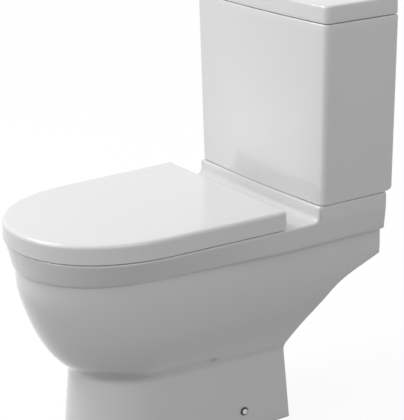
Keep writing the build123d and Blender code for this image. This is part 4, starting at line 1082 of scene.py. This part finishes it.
    def pipe_line(self) -> Tuple[np.ndarray, np.ndarray]:
        """Give the trap's centre line and the direction that started towards the nose.

        It turns down and up again round the dip, over the weir and level to the outlet, on
        quarter and part circles of one radius.

        Returns:
            Centres and directions, as distance and height.
        """
        bend, weir = self.bend, self.weir_bend
        fall = math.acos(1 - (weir + bend - self.outlet) / (2 * bend))
        turns = ((0.0, -math.pi, 25), (0.0, QUARTER + fall, 23), (QUARTER + fall, QUARTER, 11))
        low, high, last = (arc((0.0, 0.0), 1.0, np.linspace(*turn)) for turn in turns)
        second = np.array([self.bend_start[0] - 2 * bend, weir])
        third = second + 2 * bend * high[-1]
        centres = [low * bend + self.bend_start, high * bend + second, third - last * bend]
        run = np.linspace(centres[2][-1, 0], self.spigot_end, 6)[1:]
        centres.append(pairs(run, self.outlet))
        sides = [low, -high, -last, np.tile((0.0, -1.0), (len(run), 1))]
        return np.concatenate(centres), np.concatenate(sides)

    def tube(self, radius: float, turn: np.ndarray, least: float) -> np.ndarray:
        """Sweep a circle along the trap's line.

        Args:
            radius: the circle's radius.
            turn: the rows' angles.
            least: the least distance from the wall that is kept.

        Returns:
            Points, rows by columns.
        """
        centre, side = self.pipe_line()
        kept = centre[:, 0] >= least
        forward = (radius * np.cos(turn))[:, None, None] * side[kept] + centre[kept]
        return row_frame(np.abs(radius * np.sin(turn))[:, None], forward[..., 0], forward[..., 1])

    def build(self) -> bpy.types.Object:
        """Join all surfaces into the closed casting.

        Returns:
            The object.
        """
        seam = self.rows.seam_row
        outer = self.outer()
        inner = self.inner(outer)
        shape = Shape("pan_casting", mirrored=True)
        shape.add(outer)
        shape.add(inner, finish=1)
        shape.add(np.stack([outer[:, 0], inner[:, 0]], axis=1), finish=1)
        shape.add(np.stack([outer[0], inner[0]], axis=1))
        edges = (outer[: seam + 1, -1], inner[: seam + 1, -1])
        deck, under = (between(edge, edge * (0.0, 1.0, 1.0), self.columns) for edge in edges)
        shape.add(deck)
        shape.add(under, finish=1)
        shape.add(np.stack([deck[0], under[0]], axis=1))

        # From the deck's edge over the lip, down to its foot and up into the flushing rim.
        rim, ceiling, trough = self.rows.rim, self.lip_foot, self.trough
        loop = np.concatenate([outer[: seam - 1: -1, -1], deck[seam, 1:]])
        turn = oval_turns(self.opening, loop)
        lips = (
            (8.0, rim), (0.0, rim), (0.0, rim - 8.0), (0.0, ceiling + 3.0), (0.0, ceiling),
            (3.0, ceiling), (5.0, ceiling), (8.0, ceiling), (8.0, ceiling + 3.0),
            (8.0, trough - 5.0), (8.0, trough), (13.0, trough), (18.0, trough), (23.0, trough),
            (23.0, trough - 5.0),
        )
        rings = [oval_ring(self.opening, outset, height, turn) for outset, height in lips]
        floor = self.bowl_levels[0][0]
        bowl = self.bowl(np.linspace(self.bowl_levels[-1][0], floor, 34)[None], 0.0, turn)
        way = course([loop, *rings, bowl[:, 0]], (9, -7, 4, -4, 2, -4, 3, -4, 2, -4, 3))
        shape.add(join(way, bowl, self.tube(self.bore, turn, self.spigot_end)))

        # From the bore's end over the spigot's collar and along the pipe to the bowl's outside.
        end, back, spigot = self.spigot_end, self.spigot_foot, self.spigot
        mouth = [
            row_frame(np.abs(radius * np.sin(turn)), ahead, self.outlet - radius * np.cos(turn))
            for radius, ahead in (
                (self.bore, end), (spigot - 2.0, end), (spigot, end), (spigot, end + 2.5),
                (spigot, back - 2.0), (spigot, back), (self.pipe, back + 2.0),
            )
        ]
        pipe = self.tube(self.pipe, turn, back + 5.0)[:, ::-1]
        closing = np.concatenate(
            [inner[: seam - 1: -1, -1, 2], np.full(self.columns - 1, self.ceiling)]
        )
        share = np.linspace(0.0, 1.0, 26)[None]
        height = floor + (closing[:, None] - floor) * share
        shell = self.bowl(height, self.bowl_wall + ease(0.0, 0.15, share), turn)
        last = np.concatenate([inner[: seam - 1: -1, -1], under[seam, 1:]])
        way = course([*mouth, pipe[:, 0]], (3, -4, 4, -4, 2))
        shape.add(join(way, pipe, shell, between(shell[:, -1], last, 6)), finish=1)
        return shape.build()


@dataclass
class TankPlan:
    """The plan of the cistern and its lid: straight sides, a bowed front, rounded corners."""

    depth: float = 159.0
    bow: float = 7.0
    front_steps: int = 18
    side_steps: int = 14
    rear_steps: int = 14
    corner_steps: int = 7

    def loop(
        self, side: float, inset: float, front_radius: float, rear_radius: float
    ) -> np.ndarray:
        """Give the right half of the plan from the front's middle to the rear's middle.

        The front is a parabola, d = front + bow (1 - (x / side)^2), and the corners are conics.

        Args:
            side: half width.
            inset: how far the front and rear are drawn in.
            front_radius, rear_radius: radii of the corners.

        Returns:
            Rows of half width and distance.
        """
        front = self.depth - inset
        cut = 0.93 * front_radius
        across = np.linspace(0.0, side - cut, self.front_steps)
        face = pairs(across, front + self.bow * (1 - (across / side) ** 2))
        sides = pairs(side, np.linspace(front - cut, inset + rear_radius, self.side_steps))
        rear = pairs(np.linspace(side - rear_radius, 0.0, self.rear_steps), inset)
        near = corner(face[-1], np.array([side, front]), sides[0], self.corner_steps)
        far = corner(sides[-1], np.array([side, inset]), rear[0], self.corner_steps)
        return np.concatenate([face, near[1:-1], sides, far[1:-1], rear])


@dataclass
class FlushDuct:
    """The duct that stands down from the pan's deck, with the round boss about the flush inlet."""

    half: float = 45.0
    front: float = 276.0
    rear: float = 40.0
    foot: float = 352.0
    top: float = 395.0
    boss: float = 58.0
    boss_foot: float = 380.0
    boss_top: float = 416.0
    edge: float = 4.0
    corner_cut: float = 6.0

    def loop(self, inset: float) -> np.ndarray:
        """Give the right half of the plan: a rectangle with the boss's circle bulging out of it.

        The circle is (r sin t, inlet + r cos t). It leaves the side where r sin t is the half
        width, and it leaves the rear edge where inlet + r cos t is that edge's distance.

        Args:
            inset: how far the plan is drawn in.

        Returns:
            Rows of half width and distance, from the front's middle to the rear's middle.
        """
        radius, half, rear = self.boss - inset, self.half - inset, self.rear + inset
        beside = math.asin(half / radius)
        behind = math.acos((rear - INLET) / radius)
        reach = radius * math.cos(beside)
        cut = self.corner_cut
        face = pairs(np.linspace(0.0, half, 12), self.front)
        side = pairs(half, np.linspace(self.front, INLET + reach, 14))
        bulge = plan_circle(radius, INLET, np.linspace(beside, math.pi - beside, 22))
        tail = pairs(half, np.linspace(INLET - reach, rear + cut, 3))
        edge = pairs(np.linspace(half - cut, radius * math.sin(behind), 3), rear)
        turned = corner(tail[-1], np.array([half, rear]), edge[0], 5)
        last = plan_circle(radius, INLET, np.linspace(behind, math.pi, 14))
        return np.concatenate([face, side[1:], bulge[1:], tail[1:], turned[1:-1], edge, last[1:]])

    def build(self) -> bpy.types.Object:
        """Close the duct and the boss, and join them.

        Returns:
            The object.
        """
        outline = self.loop(0.0)
        spine = pairs(0.0, np.clip(outline[:, 1], INLET, self.front - self.half))
        circle = plan_circle(self.boss - 0.5, INLET, np.linspace(0.0, math.pi, 33))
        centre = pairs(np.zeros(len(circle)), INLET)
        foot, edge, top, low, high = (
            self.foot, self.foot + self.edge, self.top, self.boss_foot, self.boss_top
        )
        duct = (
            (spine, foot), (self.loop(self.edge), foot), (outline, foot), (outline, edge),
            (outline, top), (spine, top),
        )
        boss = ((centre, low), (circle, low), (circle, high), (centre, high))
        shape = Shape("flush_duct_casting", mirrored=True)
        for rings, moves in ((duct, (8, -5, 6, 8)), (boss, (5, 4, 5))):
            shape.add(course([lifted(loop, height) for loop, height in rings], moves), finish=1)
        return shape.build()


@dataclass
class CisternShell:
    """The china cistern: tapering walls round a hollow, on a floor with a rounded rear heel."""

    plan: TankPlan = field(default_factory=TankPlan)
    foot: float = 429.0
    top: float = 745.7
    foot_half: float = 186.4
    top_half: float = 194.6
    wall: float = 10.0
    floor: float = 12.0
    heel: float = 17.0
    edge: float = 2.5
    fillet: float = 4.0
    radii: Tuple[float, float] = (11.0, 8.0)
    inner_radius: float = 9.0
    spud_radius: float = 31.0

    def wall_points(self, loops: Sequence[np.ndarray], height: np.ndarray) -> np.ndarray:
        """Run each row straight from the foot's plan to the top's, and read it at heights."""
        share = ((height - self.foot) / (self.top - self.foot))[..., None]
        return lifted(loops[0][:, None] * (1 - share) + loops[1][:, None] * share, height)

    def heel_height(self, ahead: np.ndarray) -> np.ndarray:
        """Give the underside's height, which rises by a quarter circle towards the rear."""
        behind = np.clip(self.heel - ahead, 0.0, self.heel)
        return self.foot + self.heel - np.sqrt(self.heel**2 - behind**2)

    def build(self) -> bpy.types.Object:
        """Join the outside, the rounded rim, the inside and the floor.

        Returns:
            The object.
        """
        halves, wall, round_in = (self.foot_half, self.top_half), self.wall, self.inner_radius
        outer = [self.plan.loop(half, 0.0, *self.radii) for half in halves]
        inner = [self.plan.loop(half - wall, wall, round_in, round_in) for half in halves]
        low = self.heel_height(outer[0][:, 1])[:, None]
        share = np.linspace(0.0, 1.0, 24)[None]
        walls = self.wall_points(outer, low + (self.top - self.edge - low) * share)
        at = lifted(outer[1], self.top)
        rim = lifted(self.plan.loop(self.top_half - self.edge, self.edge, *self.radii), self.top)
        base, fillet = self.foot + self.floor, self.fillet
        inside = np.linspace(self.top, base + fillet, 16)[None]
        hollow = self.wall_points(inner, np.broadcast_to(inside, (len(low), 16)))
        shrunk = self.plan.loop(self.foot_half - wall - fillet, wall + fillet, round_in, round_in)
        hole = circle_loop(outer[0], self.spud_radius, INLET)
        shelf, under = lifted(hole, base), lifted(hole, self.foot)
        drop = between(under, walls[:, 0], 10)
        drop[..., 2] = self.heel_height(WALL - drop[..., 1])
        bottom = self.wall_points(inner, np.full((len(low), 1), base))[:, 0]
        shape = Shape("cistern_shell", mirrored=True)
        shape.add(join(drop, walls, course([walls[:, -1], at, rim, hollow[:, 0]], (-5, 3))))
        way = [hollow[:, -1], bottom, lifted(shrunk, base), shelf, under]
        shape.add(join(hollow, course(way, (-5, 8, 3))), finish=1)
        return shape.build()


@dataclass
class CisternCap:
    """The cistern's lid: a slab with soft edges, hollow below, with a lip and a button hole."""

    plan: TankPlan = field(default_factory=TankPlan)
    half: float = 194.6
    radii: Tuple[float, float] = (11.0, 8.0)
    slab: float = 0.6
    foot: float = 747.2
    top: float = 777.3
    ceiling: float = 766.3
    lip: float = 737.0
    lip_sides: Tuple[float, float] = (13.0, 19.0)
    edge: float = 4.0
    foot_edge: float = 1.0
    hole: float = 26.0
    hole_edge: float = 1.0

    def build(self) -> bpy.types.Object:
        """Join rings from the button hole over the slab and under it back to the hole.

        Returns:
            The object.
        """
        slab, top, foot, lip, ceiling = self.slab, self.top, self.foot, self.lip, self.ceiling
        edge, low_edge, bevel = self.edge, self.foot_edge, self.hole_edge
        outside, inside = self.lip_sides
        outline = self.plan.loop(self.half, 0.0, *self.radii)
        hole, mouth = (
            circle_loop(outline, radius, INLET) for radius in (self.hole, self.hole + bevel)
        )

        def rings(*places: Tuple[float, float]) -> List[np.ndarray]:
            """Give the slab's outline drawn in by an inset, at a height, for each place."""
            return [
                lifted(self.plan.loop(self.half - inset, inset, *self.radii), height)
                for inset, height in places
            ]

        start = lifted(hole, top - bevel)
        over = rings(
            (slab + edge, top), (slab, top), (slab, top - edge), (slab, foot + low_edge),
            (slab, foot), (slab + low_edge, foot), (outside, foot),
        )
        below = rings(
            (outside, foot), (outside, lip + 1), (outside, lip), (outside + 1, lip),
            (inside - 1, lip), (inside, lip), (inside, lip + 1), (inside, ceiling - 3),
            (inside, ceiling), (inside + 3, ceiling),
        )
        shape = Shape("cistern_cap", mirrored=True)
        way = [start, lifted(hole, top), lifted(mouth, top), *over]
        shape.add(course(way, (-4, 12, -8, 5, -4, 3)))
        way = [*below, lifted(hole, ceiling), start]
        shape.add(course(way, (3, -4, 2, -4, 5, -4, 10, 3)), finish=1)
        return shape.build()


@dataclass
class SeatPlan:
    """The plan that the seat ring and its cover share."""

    half_rear: float = 186.0
    half_mid: float = 179.2
    mid: float = 454.0
    nose: float = 658.0
    power: float = 2.13
    nose_steps: int = 40
    side_steps: int = 26

    def loop(
        self, inset: float, rear: float, cut: float, rear_places: Sequence[float]
    ) -> np.ndarray:
        """Give the right half of the outline from the tip to the rear's middle.

        Args:
            inset: how far the outline is drawn in.
            rear: distance of the rear edge.
            cut: radius of the rear corner.
            rear_places: half widths of the rear edge's points past the corner, falling to 0.

        Returns:
            Rows of half width and distance.
        """
        half_rear, half_mid, nose = (
            value - inset for value in (self.half_rear, self.half_mid, self.nose)
        )
        slope = (half_mid - half_rear) / (self.mid - rear)
        turn = np.linspace(QUARTER, 0.0, self.nose_steps)
        front = pairs(*nose_curve(turn, half_mid, self.mid, nose, self.power, slope))
        ahead = np.linspace(self.mid, rear + cut, self.side_steps)[1:]
        side = pairs(half_rear + slope * (ahead - rear), ahead)
        back = pairs(np.array([half_rear - cut, *rear_places]), rear)
        bend = corner(side[-1], np.array([half_rear, rear]), back[0], 7)
        return np.concatenate([front, side, bend[1:-1], back])


@dataclass
class SeatCover:
    """The wrap-over cover: a thin slightly crowned plate with a skirt, open at the hinges."""

    plan: SeatPlan = field(default_factory=SeatPlan)
    top: float = 436.3
    foot: float = 402.2
    rear: float = 232.0
    plate: float = 5.0
    skirt: float = 4.0
    cut: float = 8.0
    edge: float = 7.0
    crown: float = 1.0
    opening: float = 118.0
    swing: float = 19.0
    spine: Tuple[float, float] = (330.0, 545.0)
    rear_places: Tuple[float, ...] = (
        162.0, 148.0, 133.0, 118.2, 117.8, 95.0, 71.0, 47.0, 24.0, 0.0
    )
    lugs: Tuple[float, float] = (101.3, 114.8)

    def lowest(self, loop: np.ndarray) -> np.ndarray:
        """Give the height of the skirt's foot at each row.

        It is level but for the rear, where it follows the circle that it sweeps about the hinge,
        and the opening, where there is no skirt.
        """
        behind = np.clip(HINGE[0] - loop[:, 1], 0.0, self.swing)
        foot = HINGE[1] - np.sqrt(self.swing**2 - behind**2)
        within = (loop[:, 0] < self.opening) & (loop[:, 1] < HINGE[0])
        return np.where(within, self.top - self.plate, np.maximum(foot, self.foot))

    def build(self) -> bpy.types.Object:
        """Join the skirt, the rounded edge, the plate and its underside, and add the hinge lugs.

        Returns:
            The object.
        """
        outline, lining, drawn = (
            self.plan.loop(inset, self.rear + inset, self.cut - inset, self.rear_places)
            for inset in (0.0, self.skirt, self.edge)
        )
        brim, under = self.top - self.crown, self.top - self.plate
        shoulder = brim - self.edge
        share = np.linspace(0.0, 1.0, 8)

        def wall(loop: np.ndarray, foot: np.ndarray, high: float) -> np.ndarray:
            """Run each row straight up from its foot."""
            low = np.minimum(foot, high)[:, None]
            return lifted(loop[:, None], low + (high - low) * share)

        foot = self.lowest(outline)
        outer, inner = wall(outline, foot, shoulder), wall(lining, self.lowest(lining), under)
        rounding = corner(outer[:, -1], lifted(outline, brim), lifted(drawn, brim), 9)
        raised = np.where(foot > shoulder, foot, 0.0)[:, None]
        for grid in (outer, rounding):
            grid[..., 2] = np.maximum(grid[..., 2], raised)
        spine = pairs(0.0, np.clip(outline[:, 1], *self.spine))
        plate = between(lifted(drawn, brim), lifted(spine, self.top), 12)
        plate[..., 2] = self.top - self.crown * (1 - np.linspace(0.0, 1.0, 12)) ** 2
        shape = Shape("seat_cover_shell", mirrored=True)
        shape.add(join(outer, rounding, plate))
        shape.add(join(inner, between(inner[:, -1], lifted(spine, under), 8)))
        shape.add(np.stack([outer[:, 0], inner[:, 0]], axis=1))
        ahead, height = HINGE
        web = [
            (ahead - BARREL, height), (ahead - BARREL, under + 1),
            (ahead + 2 * BARREL, under + 1), (ahead + BARREL, height),
        ]
        bend = arc(HINGE, BARREL, np.linspace(0.0, -math.pi, 13))
        shape.add(bar(np.concatenate([web, bend[1:-1]]), *self.lugs, 0.8), ring=True)
        return shape.build()


@dataclass
class SeatRing:
    """The seat ring: a rounded oval frame with two hinge lugs."""

    plan: SeatPlan = field(default_factory=SeatPlan)
    foot: float = 405.0
    top: float = 423.0
    inset: float = 6.0
    rear: float = 268.0
    cut: float = 8.0
    edge: float = 5.0
    hole: Tuple[float, ...] = (318.0, 440.0, 592.0, 108.0, 2.2)
    lugs: Tuple[float, float] = (87.4, 100.9)
    rear_places: Tuple[float, ...] = (155.0, 138.0, 120.0, 100.0, 80.0, 60.0, 40.0, 20.0, 0.0)

    def build(self) -> bpy.types.Object:
        """Join rings round the frame, and add the lugs.

        Returns:
            The object.
        """
        edge, high, inset, rear, cut = self.edge, self.top, self.inset, self.rear, self.cut
        outline, drawn = (
            self.plan.loop(inset + less, rear + less, cut - less, self.rear_places)
            for less in (0.0, edge)
        )
        turn = oval_turns(self.hole, outline)
        feet = [lifted(outline, self.foot), oval_ring(self.hole, 0.0, self.foot, turn)]
        outside = [lifted(outline, high - edge), lifted(outline, high), lifted(drawn, high)]
        mouth = [
            oval_ring(self.hole, outset, height, turn)
            for outset, height in ((edge, high), (0.0, high), (0.0, high - edge))
        ]
        way = [feet[0], *outside, *mouth, feet[1], feet[0]]
        shape = Shape("seat_ring_shell", mirrored=True)
        shape.add(course(way, (5, -8, 12, -8, 5, 12)))
        bend = arc(HINGE, BARREL, np.linspace(QUARTER, 3 * QUARTER, 13))
        ahead = HINGE[0]
        tail = [(ahead + 38.0, 411.0), (ahead + 38.0, 421.7), (ahead + 4.0, 427.0)]
        shape.add(bar(np.concatenate([bend, tail]), *self.lugs, 0.8), ring=True)
        return shape.build()


@dataclass
class HingePosts:
    """The posts that carry the hinge pins: a round foot, a flat neck and a barrel."""

    half: float = 77.5
    foot: float = 401.2
    foot_radius: float = 14.0
    neck: float = 6.0
    sides: Tuple[float, float] = (68.0, 87.0)

    def build(self) -> bpy.types.Object:
        """Turn the foot and run the neck's keyhole section across.

        Returns:
            The object.
        """
        shape = Shape("hinge_post_pair", mirrored=True)
        low, wide, ahead = self.foot, self.foot_radius, HINGE[0]
        corners = [(0.0, low), (wide, low), (wide, low + 2.0), (9.0, low + 2.4), (0.0, low + 2.4)]
        shape.turn(rounded(corners, [0.3, 0.8, 1.0], 4), (self.half, ahead, 0.0), 64)
        start = math.asin(self.neck / BARREL)
        bend = arc(HINGE, BARREL, np.linspace(start - QUARTER, 3 * QUARTER - start, 29))
        legs = [(ahead - self.neck, low + 1.0), (ahead + self.neck, low + 1.0)]
        shape.add(bar(np.concatenate([bend, legs]), *self.sides, 1.0), ring=True)
        return shape.build()


@dataclass
class ButtonUnit:
    """The flush buttons and their ring in the cistern's lid."""

    top: float = 779.3
    radius: float = 23.3
    split: float = 4.5
    gap: float = 0.35
    height: float = 10.0
    dish: float = 0.7
    boss: Tuple[float, float] = (4.5, 6.0)
    rod_side: float = 14.0
    sleeve: Tuple[float, float, float] = (23.5, 25.5, 27.0)
    flange: Tuple[float, float] = (31.0, 2.0)

    def bezel(self) -> bpy.types.Object:
        """Turn the ring with its sleeve."""
        top, (bore, barrel, depth), (rim, thick) = self.top, self.sleeve, self.flange
        corners = [
            (bore, top - 14), (bore, top), (rim, top), (rim, top - thick), (barrel, top - thick),
            (barrel, top - depth), (bore, top - depth), (bore, top - 14),
        ]
        shape = Shape("button_ring")
        shape.turn(rounded(corners, [0.9, 1.3, 0.2, 0.1, 0.3, 0.3]), (0.0, INLET, 0.0), 128)
        return shape.build()

    def button(self, name: str, side: float) -> bpy.types.Object:
        """Build one button: a part of a disc with a soft edge, a faint dish and a round boss.

        Args:
            name: the object's name.
            side: -1 for the larger part on the left, 1 for the smaller on the right.

        Returns:
            The object.
        """
        reach = math.acos(side * (self.split + side * self.gap) / self.radius)
        rim = arc((0.0, 0.0), self.radius, np.linspace(-reach, reach, 61))
        line = np.linspace(rim[-1], rim[0], 15)[1:-1]
        loop = np.concatenate([rim, line]) * (side, 1.0)
        middle = loop.mean(axis=0)
        spoke = middle - loop
        spoke = (spoke / np.linalg.norm(spoke, axis=1, keepdims=True))[:, None]
        low = self.top - self.height
        fall = np.linspace(0.0, QUARTER, 6)
        inset = np.concatenate([[0.0], 1.0 - np.cos(fall)])
        outside = loop[:, None] + spoke * inset[:, None]
        share = np.linspace(0.0, 1.0, 12)[1:]
        inside = outside[:, -1:] + (middle - outside[:, -1:]) * share[:, None]
        closed = np.broadcast_to(middle, outside[:, :1].shape)
        plan = np.concatenate([outside, inside, closed, outside[:, :1]], axis=1)
        dip = self.top - self.dish * np.sin(share * QUARTER) ** 2
        heights = np.concatenate([[low], self.top - 1.0 + np.sin(fall), dip, [low, low]])
        grid = row_frame(plan[..., 0], INLET + plan[..., 1], heights)
        shape = Shape(name)
        shape.add(grid[:, :-2], ring=True)
        shape.add(grid[:, -2:], ring=True)
        radius, drop = self.boss
        corners = [(0.0, low), (radius, low), (radius, low - drop), (0.0, low - drop)]
        centre = (side * self.rod_side, INLET, 0.0)
        shape.turn(rounded(corners, [0.0, 0.5], 3), centre, 32)
        return shape.build()


@dataclass
class SideFixing:
    """The collar and slotted screw in each side of the pedestal."""

    centre: Tuple[float, float, float] = (0.0, 272.0, 40.0)
    skin: float = 105.5
    flange: float = 2.0
    bore: float = 3.3
    head: float = 5.0
    rise: float = 2.2
    slot_half: float = 0.6
    slot_turn: float = 60.0

    def collars(self) -> bpy.types.Object:
        """Turn the collars: a rounded flange on a short barrel, round a countersunk hole."""
        skin, bore, lip = self.skin, self.bore, self.skin + self.flange
        corners = [
            (bore, skin - 9), (bore, skin + 0.6), (5.6, lip), (8.0, lip), (8.0, skin),
            (6.8, skin), (6.8, skin - 12), (bore, skin - 12), (bore, skin - 9),
        ]
        cuts = [0.3, 0.4, 0.9, 0.1, 0.2, 0.4, 0.4]
        shape = Shape("side_collars", mirrored=True)
        shape.turn(rounded(corners, cuts), self.centre, 64, sideways=True)
        return shape.build()

    def screws(self) -> bpy.types.Object:
        """Build the screws: a domed head with a turned slot, and a shank.

        The head is a stack of chords across the slot's direction, each a closed outline.
        """
        shape = Shape("side_screw_pair", mirrored=True)
        radius, base, wide = self.head, self.skin + self.flange, self.slot_half
        side = radius * np.sin(np.linspace(QUARTER, 0.25, 9))
        across = np.concatenate([-side, [-wide, -wide, 0.0, wide, wide], side[::-1]])[:, None]
        along = np.linspace(-1.0, 1.0, 11) * np.sqrt(np.clip(radius**2 - across**2, 0.0, None))
        dome = self.rise - 0.9 * ((along**2 + across**2) / radius**2) ** 2
        dome[len(side) + 1: len(side) + 4] = self.rise / 2
        section = np.concatenate([along, along[:, ::-1], along[:, :1]], axis=1)
        height = np.concatenate([dome, np.zeros_like(along), dome[:, :1]], axis=1)
        turn = math.radians(self.slot_turn)
        forward = section * math.cos(turn) - across * math.sin(turn)
        upward = section * math.sin(turn) + across * math.cos(turn)
        _, ahead, middle = self.centre
        shape.add(row_frame(base + height, ahead - forward, middle + upward))
        start, end = self.skin - 22.0, base + 0.2
        shank = rounded([(0.0, start), (3.0, start), (3.0, end), (0.0, end)], [0.8, 0.0], 4)
        shape.turn(shank, self.centre, 32, sideways=True)
        return shape.build()


@dataclass
class Buffers:
    """Rubber buffers: low domed discs."""

    name: str
    places: Tuple[Tuple[float, float], ...]
    foot: float
    top: float
    radius: float = 8.0

    def build(self) -> bpy.types.Object:
        """Turn each disc on the right, and mirror them."""
        shape = Shape(self.name, mirrored=True)
        low, high, radius = self.foot, self.top, self.radius
        profile = rounded([(0.0, low), (radius, low), (radius, high), (0.0, high)], [1.2, 0.4])
        for half, ahead in self.places:
            shape.turn(profile, (half, ahead, 0.0), 40)
        return shape.build()


# The photo's setting


@dataclass
class Studio:
    """A white studio, the camera that was fitted to the photo, and soft light from above.

    The lens is the fitted focal length in pixels times the sensor over the picture's longer side.
    """

    azimuth: float = 56.746
    elevation: float = 18.494
    roll: float = -1.175
    place: Tuple[float, float, float] = (2.139934, -1.35944, 1.253837)
    sensor: float = 36.0
    lens: float = 1512.059 * 36.0 / 420.0
    sky: float = 0.46
    white: float = 1.0
    floor_grey: float = 0.08
    floor_glow: float = 0.90
    lamp_aim: Tuple[float, float, float] = (0.0, 0.0, 0.4)
    lamp_size: float = 1.2

    def camera(self) -> None:
        """Add the camera. It looks back along the direction given by azimuth and elevation."""
        turn, lift, roll = (math.radians(v) for v in (self.azimuth, self.elevation, self.roll))
        level = math.cos(lift)
        back = Vector((math.sin(turn) * level, -math.cos(turn) * level, math.sin(lift)))
        right = Vector((math.cos(turn), math.sin(turn), 0.0))
        upward = back.cross(right)
        side = right * math.cos(roll) + upward * math.sin(roll)
        head = upward * math.cos(roll) - right * math.sin(roll)
        data = bpy.data.cameras.new("photo_camera")
        data.lens = self.lens
        data.sensor_width = self.sensor
        data.clip_end = 50.0
        eye = bpy.data.objects.new("photo_camera", data)
        turned = Matrix((side, head, back)).transposed().to_4x4()
        eye.matrix_world = Matrix.Translation(self.place) @ turned
        bpy.context.scene.collection.objects.link(eye)
        bpy.context.scene.camera = eye

    def lamp(self, name: str, place: Sequence[float], power: float) -> None:
        """Add a square area lamp that faces the object.

        Args:
            name: its name.
            place: where it stands.
            power: watts.
        """
        data = bpy.data.lights.new(name, "AREA")
        data.shape = "RECTANGLE"
        data.size = data.size_y = self.lamp_size
        data.energy = power
        lamp = bpy.data.objects.new(name, data)
        direction = Vector(self.lamp_aim) - Vector(place)
        turned = direction.to_track_quat("-Z", "Y").to_matrix().to_4x4()
        lamp.matrix_world = Matrix.Translation(place) @ turned
        bpy.context.scene.collection.objects.link(lamp)

    def world(self) -> None:
        """Make the world a dim even sky as a light, and white to the eye and in reflections."""
        shader = Shader("white_room", world=True)
        sky, white = (
            shader.node("ShaderNodeBackground", inputs={"Color": (1, 1, 1, 1), "Strength": power})
            for power in (self.sky, self.white)
        )
        mixed = {0: shader.seen(), 1: sky, 2: white}
        bpy.context.scene.world = shader.finish(shader.node("ShaderNodeMixShader", inputs=mixed))

    def floor(self) -> None:
        """Lay a floor that is white to the eye and in reflections, and keeps a faint shadow."""
        shader = Shader("studio_floor")
        matte = shader.principled(Base_Color=(*[self.floor_grey] * 3, 1), Roughness=0.9)
        light = {"Color": (1, 1, 1, 1), "Strength": self.floor_glow}
        glow = shader.node("ShaderNodeEmission", inputs=light)
        pale = shader.node("ShaderNodeAddShader", inputs={0: glow, 1: matte})
        mixed = {0: shader.seen(), 1: matte, 2: pale}
        mesh = bpy.data.meshes.new("studio_floor")
        mesh.from_pydata([(-6, -6, 0), (6, -6, 0), (6, 6, 0), (-6, 6, 0)], [], [(0, 1, 2, 3)])
        mesh.materials.append(shader.finish(shader.node("ShaderNodeMixShader", inputs=mixed)))
        ground = bpy.data.objects.new("studio_floor", mesh)
        bpy.context.scene.collection.objects.link(ground)

    def build(self) -> None:
        """Set camera, world, floor and lamps."""
        bpy.context.scene.view_settings.view_transform = "Standard"
        self.camera()
        self.world()
        self.floor()
        self.lamp("key", (-1.182, -1.182, 2.392), 29.3)
        self.lamp("front", (-0.205, -2.347, 1.499), 12.6)
        self.lamp("side", (2.321, -0.409, 1.499), 8.0)


def dress_frame(materials: Dict[Slot, bpy.types.Material], replaced: Sequence[str]) -> None:
    """Give every CAD node that is shown its slot's material.

    Args:
        materials: the materials.
        replaced: nodes that aren't shown.
    """
    slots = {entry["node"]: entry["material_slot"] for entry in frame["record"]["subparts"]}
    for name, node in frame["nodes"].items():
        if name in replaced:
            continue
        for holder in node.material_slots:
            holder.link = "OBJECT"
            holder.material = materials[Slot(slots[name])]
        LOG.info("%s keeps its frame mesh", name)


def main() -> None:
    """Build the classes in order and report each piece."""
    logging.basicConfig(level=logging.INFO, format="%(name)s: %(message)s")
    materials = {slot: finish.make() for slot, finish in FINISHES.items()}
    dry = BISCUIT.make()
    fixing, unit = SideFixing(), ButtonUnit()
    ring_buffers = Buffers("ring_buffer_discs", ((138.0, 330.0), (138.0, 520.0)), 400.3, 405.2)
    cover_buffers = Buffers("cover_buffer_discs", ((128.0, 345.0), (128.0, 540.0)), 423.3, 431.5)
    pieces = [
        (PanCasting().build(), Body.FIXED, Slot.CHINA, "pan"),
        (FlushDuct().build(), Body.FIXED, Slot.CHINA, "pan"),
        (CisternShell().build(), Body.FIXED, Slot.CHINA, "cistern"),
        (CisternCap().build(), Body.LID, Slot.CHINA, "cistern_lid"),
        (SeatCover().build(), Body.COVER, Slot.SEAT, "seat_cover"),
        (SeatRing().build(), Body.RING, Slot.SEAT, "seat_ring"),
        (HingePosts().build(), Body.FIXED, Slot.CHROME, "hinge_posts"),
        (unit.bezel(), Body.LID, Slot.CHROME, "button_bezel"),
        (unit.button("full_button_face", -1.0), Body.FULL_BUTTON, Slot.CHROME, "full_button"),
        (unit.button("half_button_face", 1.0), Body.HALF_BUTTON, Slot.CHROME, "half_button"),
        (fixing.collars(), Body.FIXED, Slot.DARK, "side_sleeves"),
        (fixing.screws(), Body.FIXED, Slot.ZINC, "side_screws"),
        (ring_buffers.build(), Body.RING, Slot.RUBBER, "ring_buffers"),
        (cover_buffers.build(), Body.COVER, Slot.RUBBER, "cover_buffers"),
    ]
    for made, body, slot, node in pieces:
        looks = (materials[slot], dry) if slot is Slot.CHINA else (materials[slot],)
        Piece(body, slot, (node,)).place(made, looks)
    dress_frame(materials, [node for *_, node in pieces])
    Studio().build()


if __name__ == "__main__":
    main()
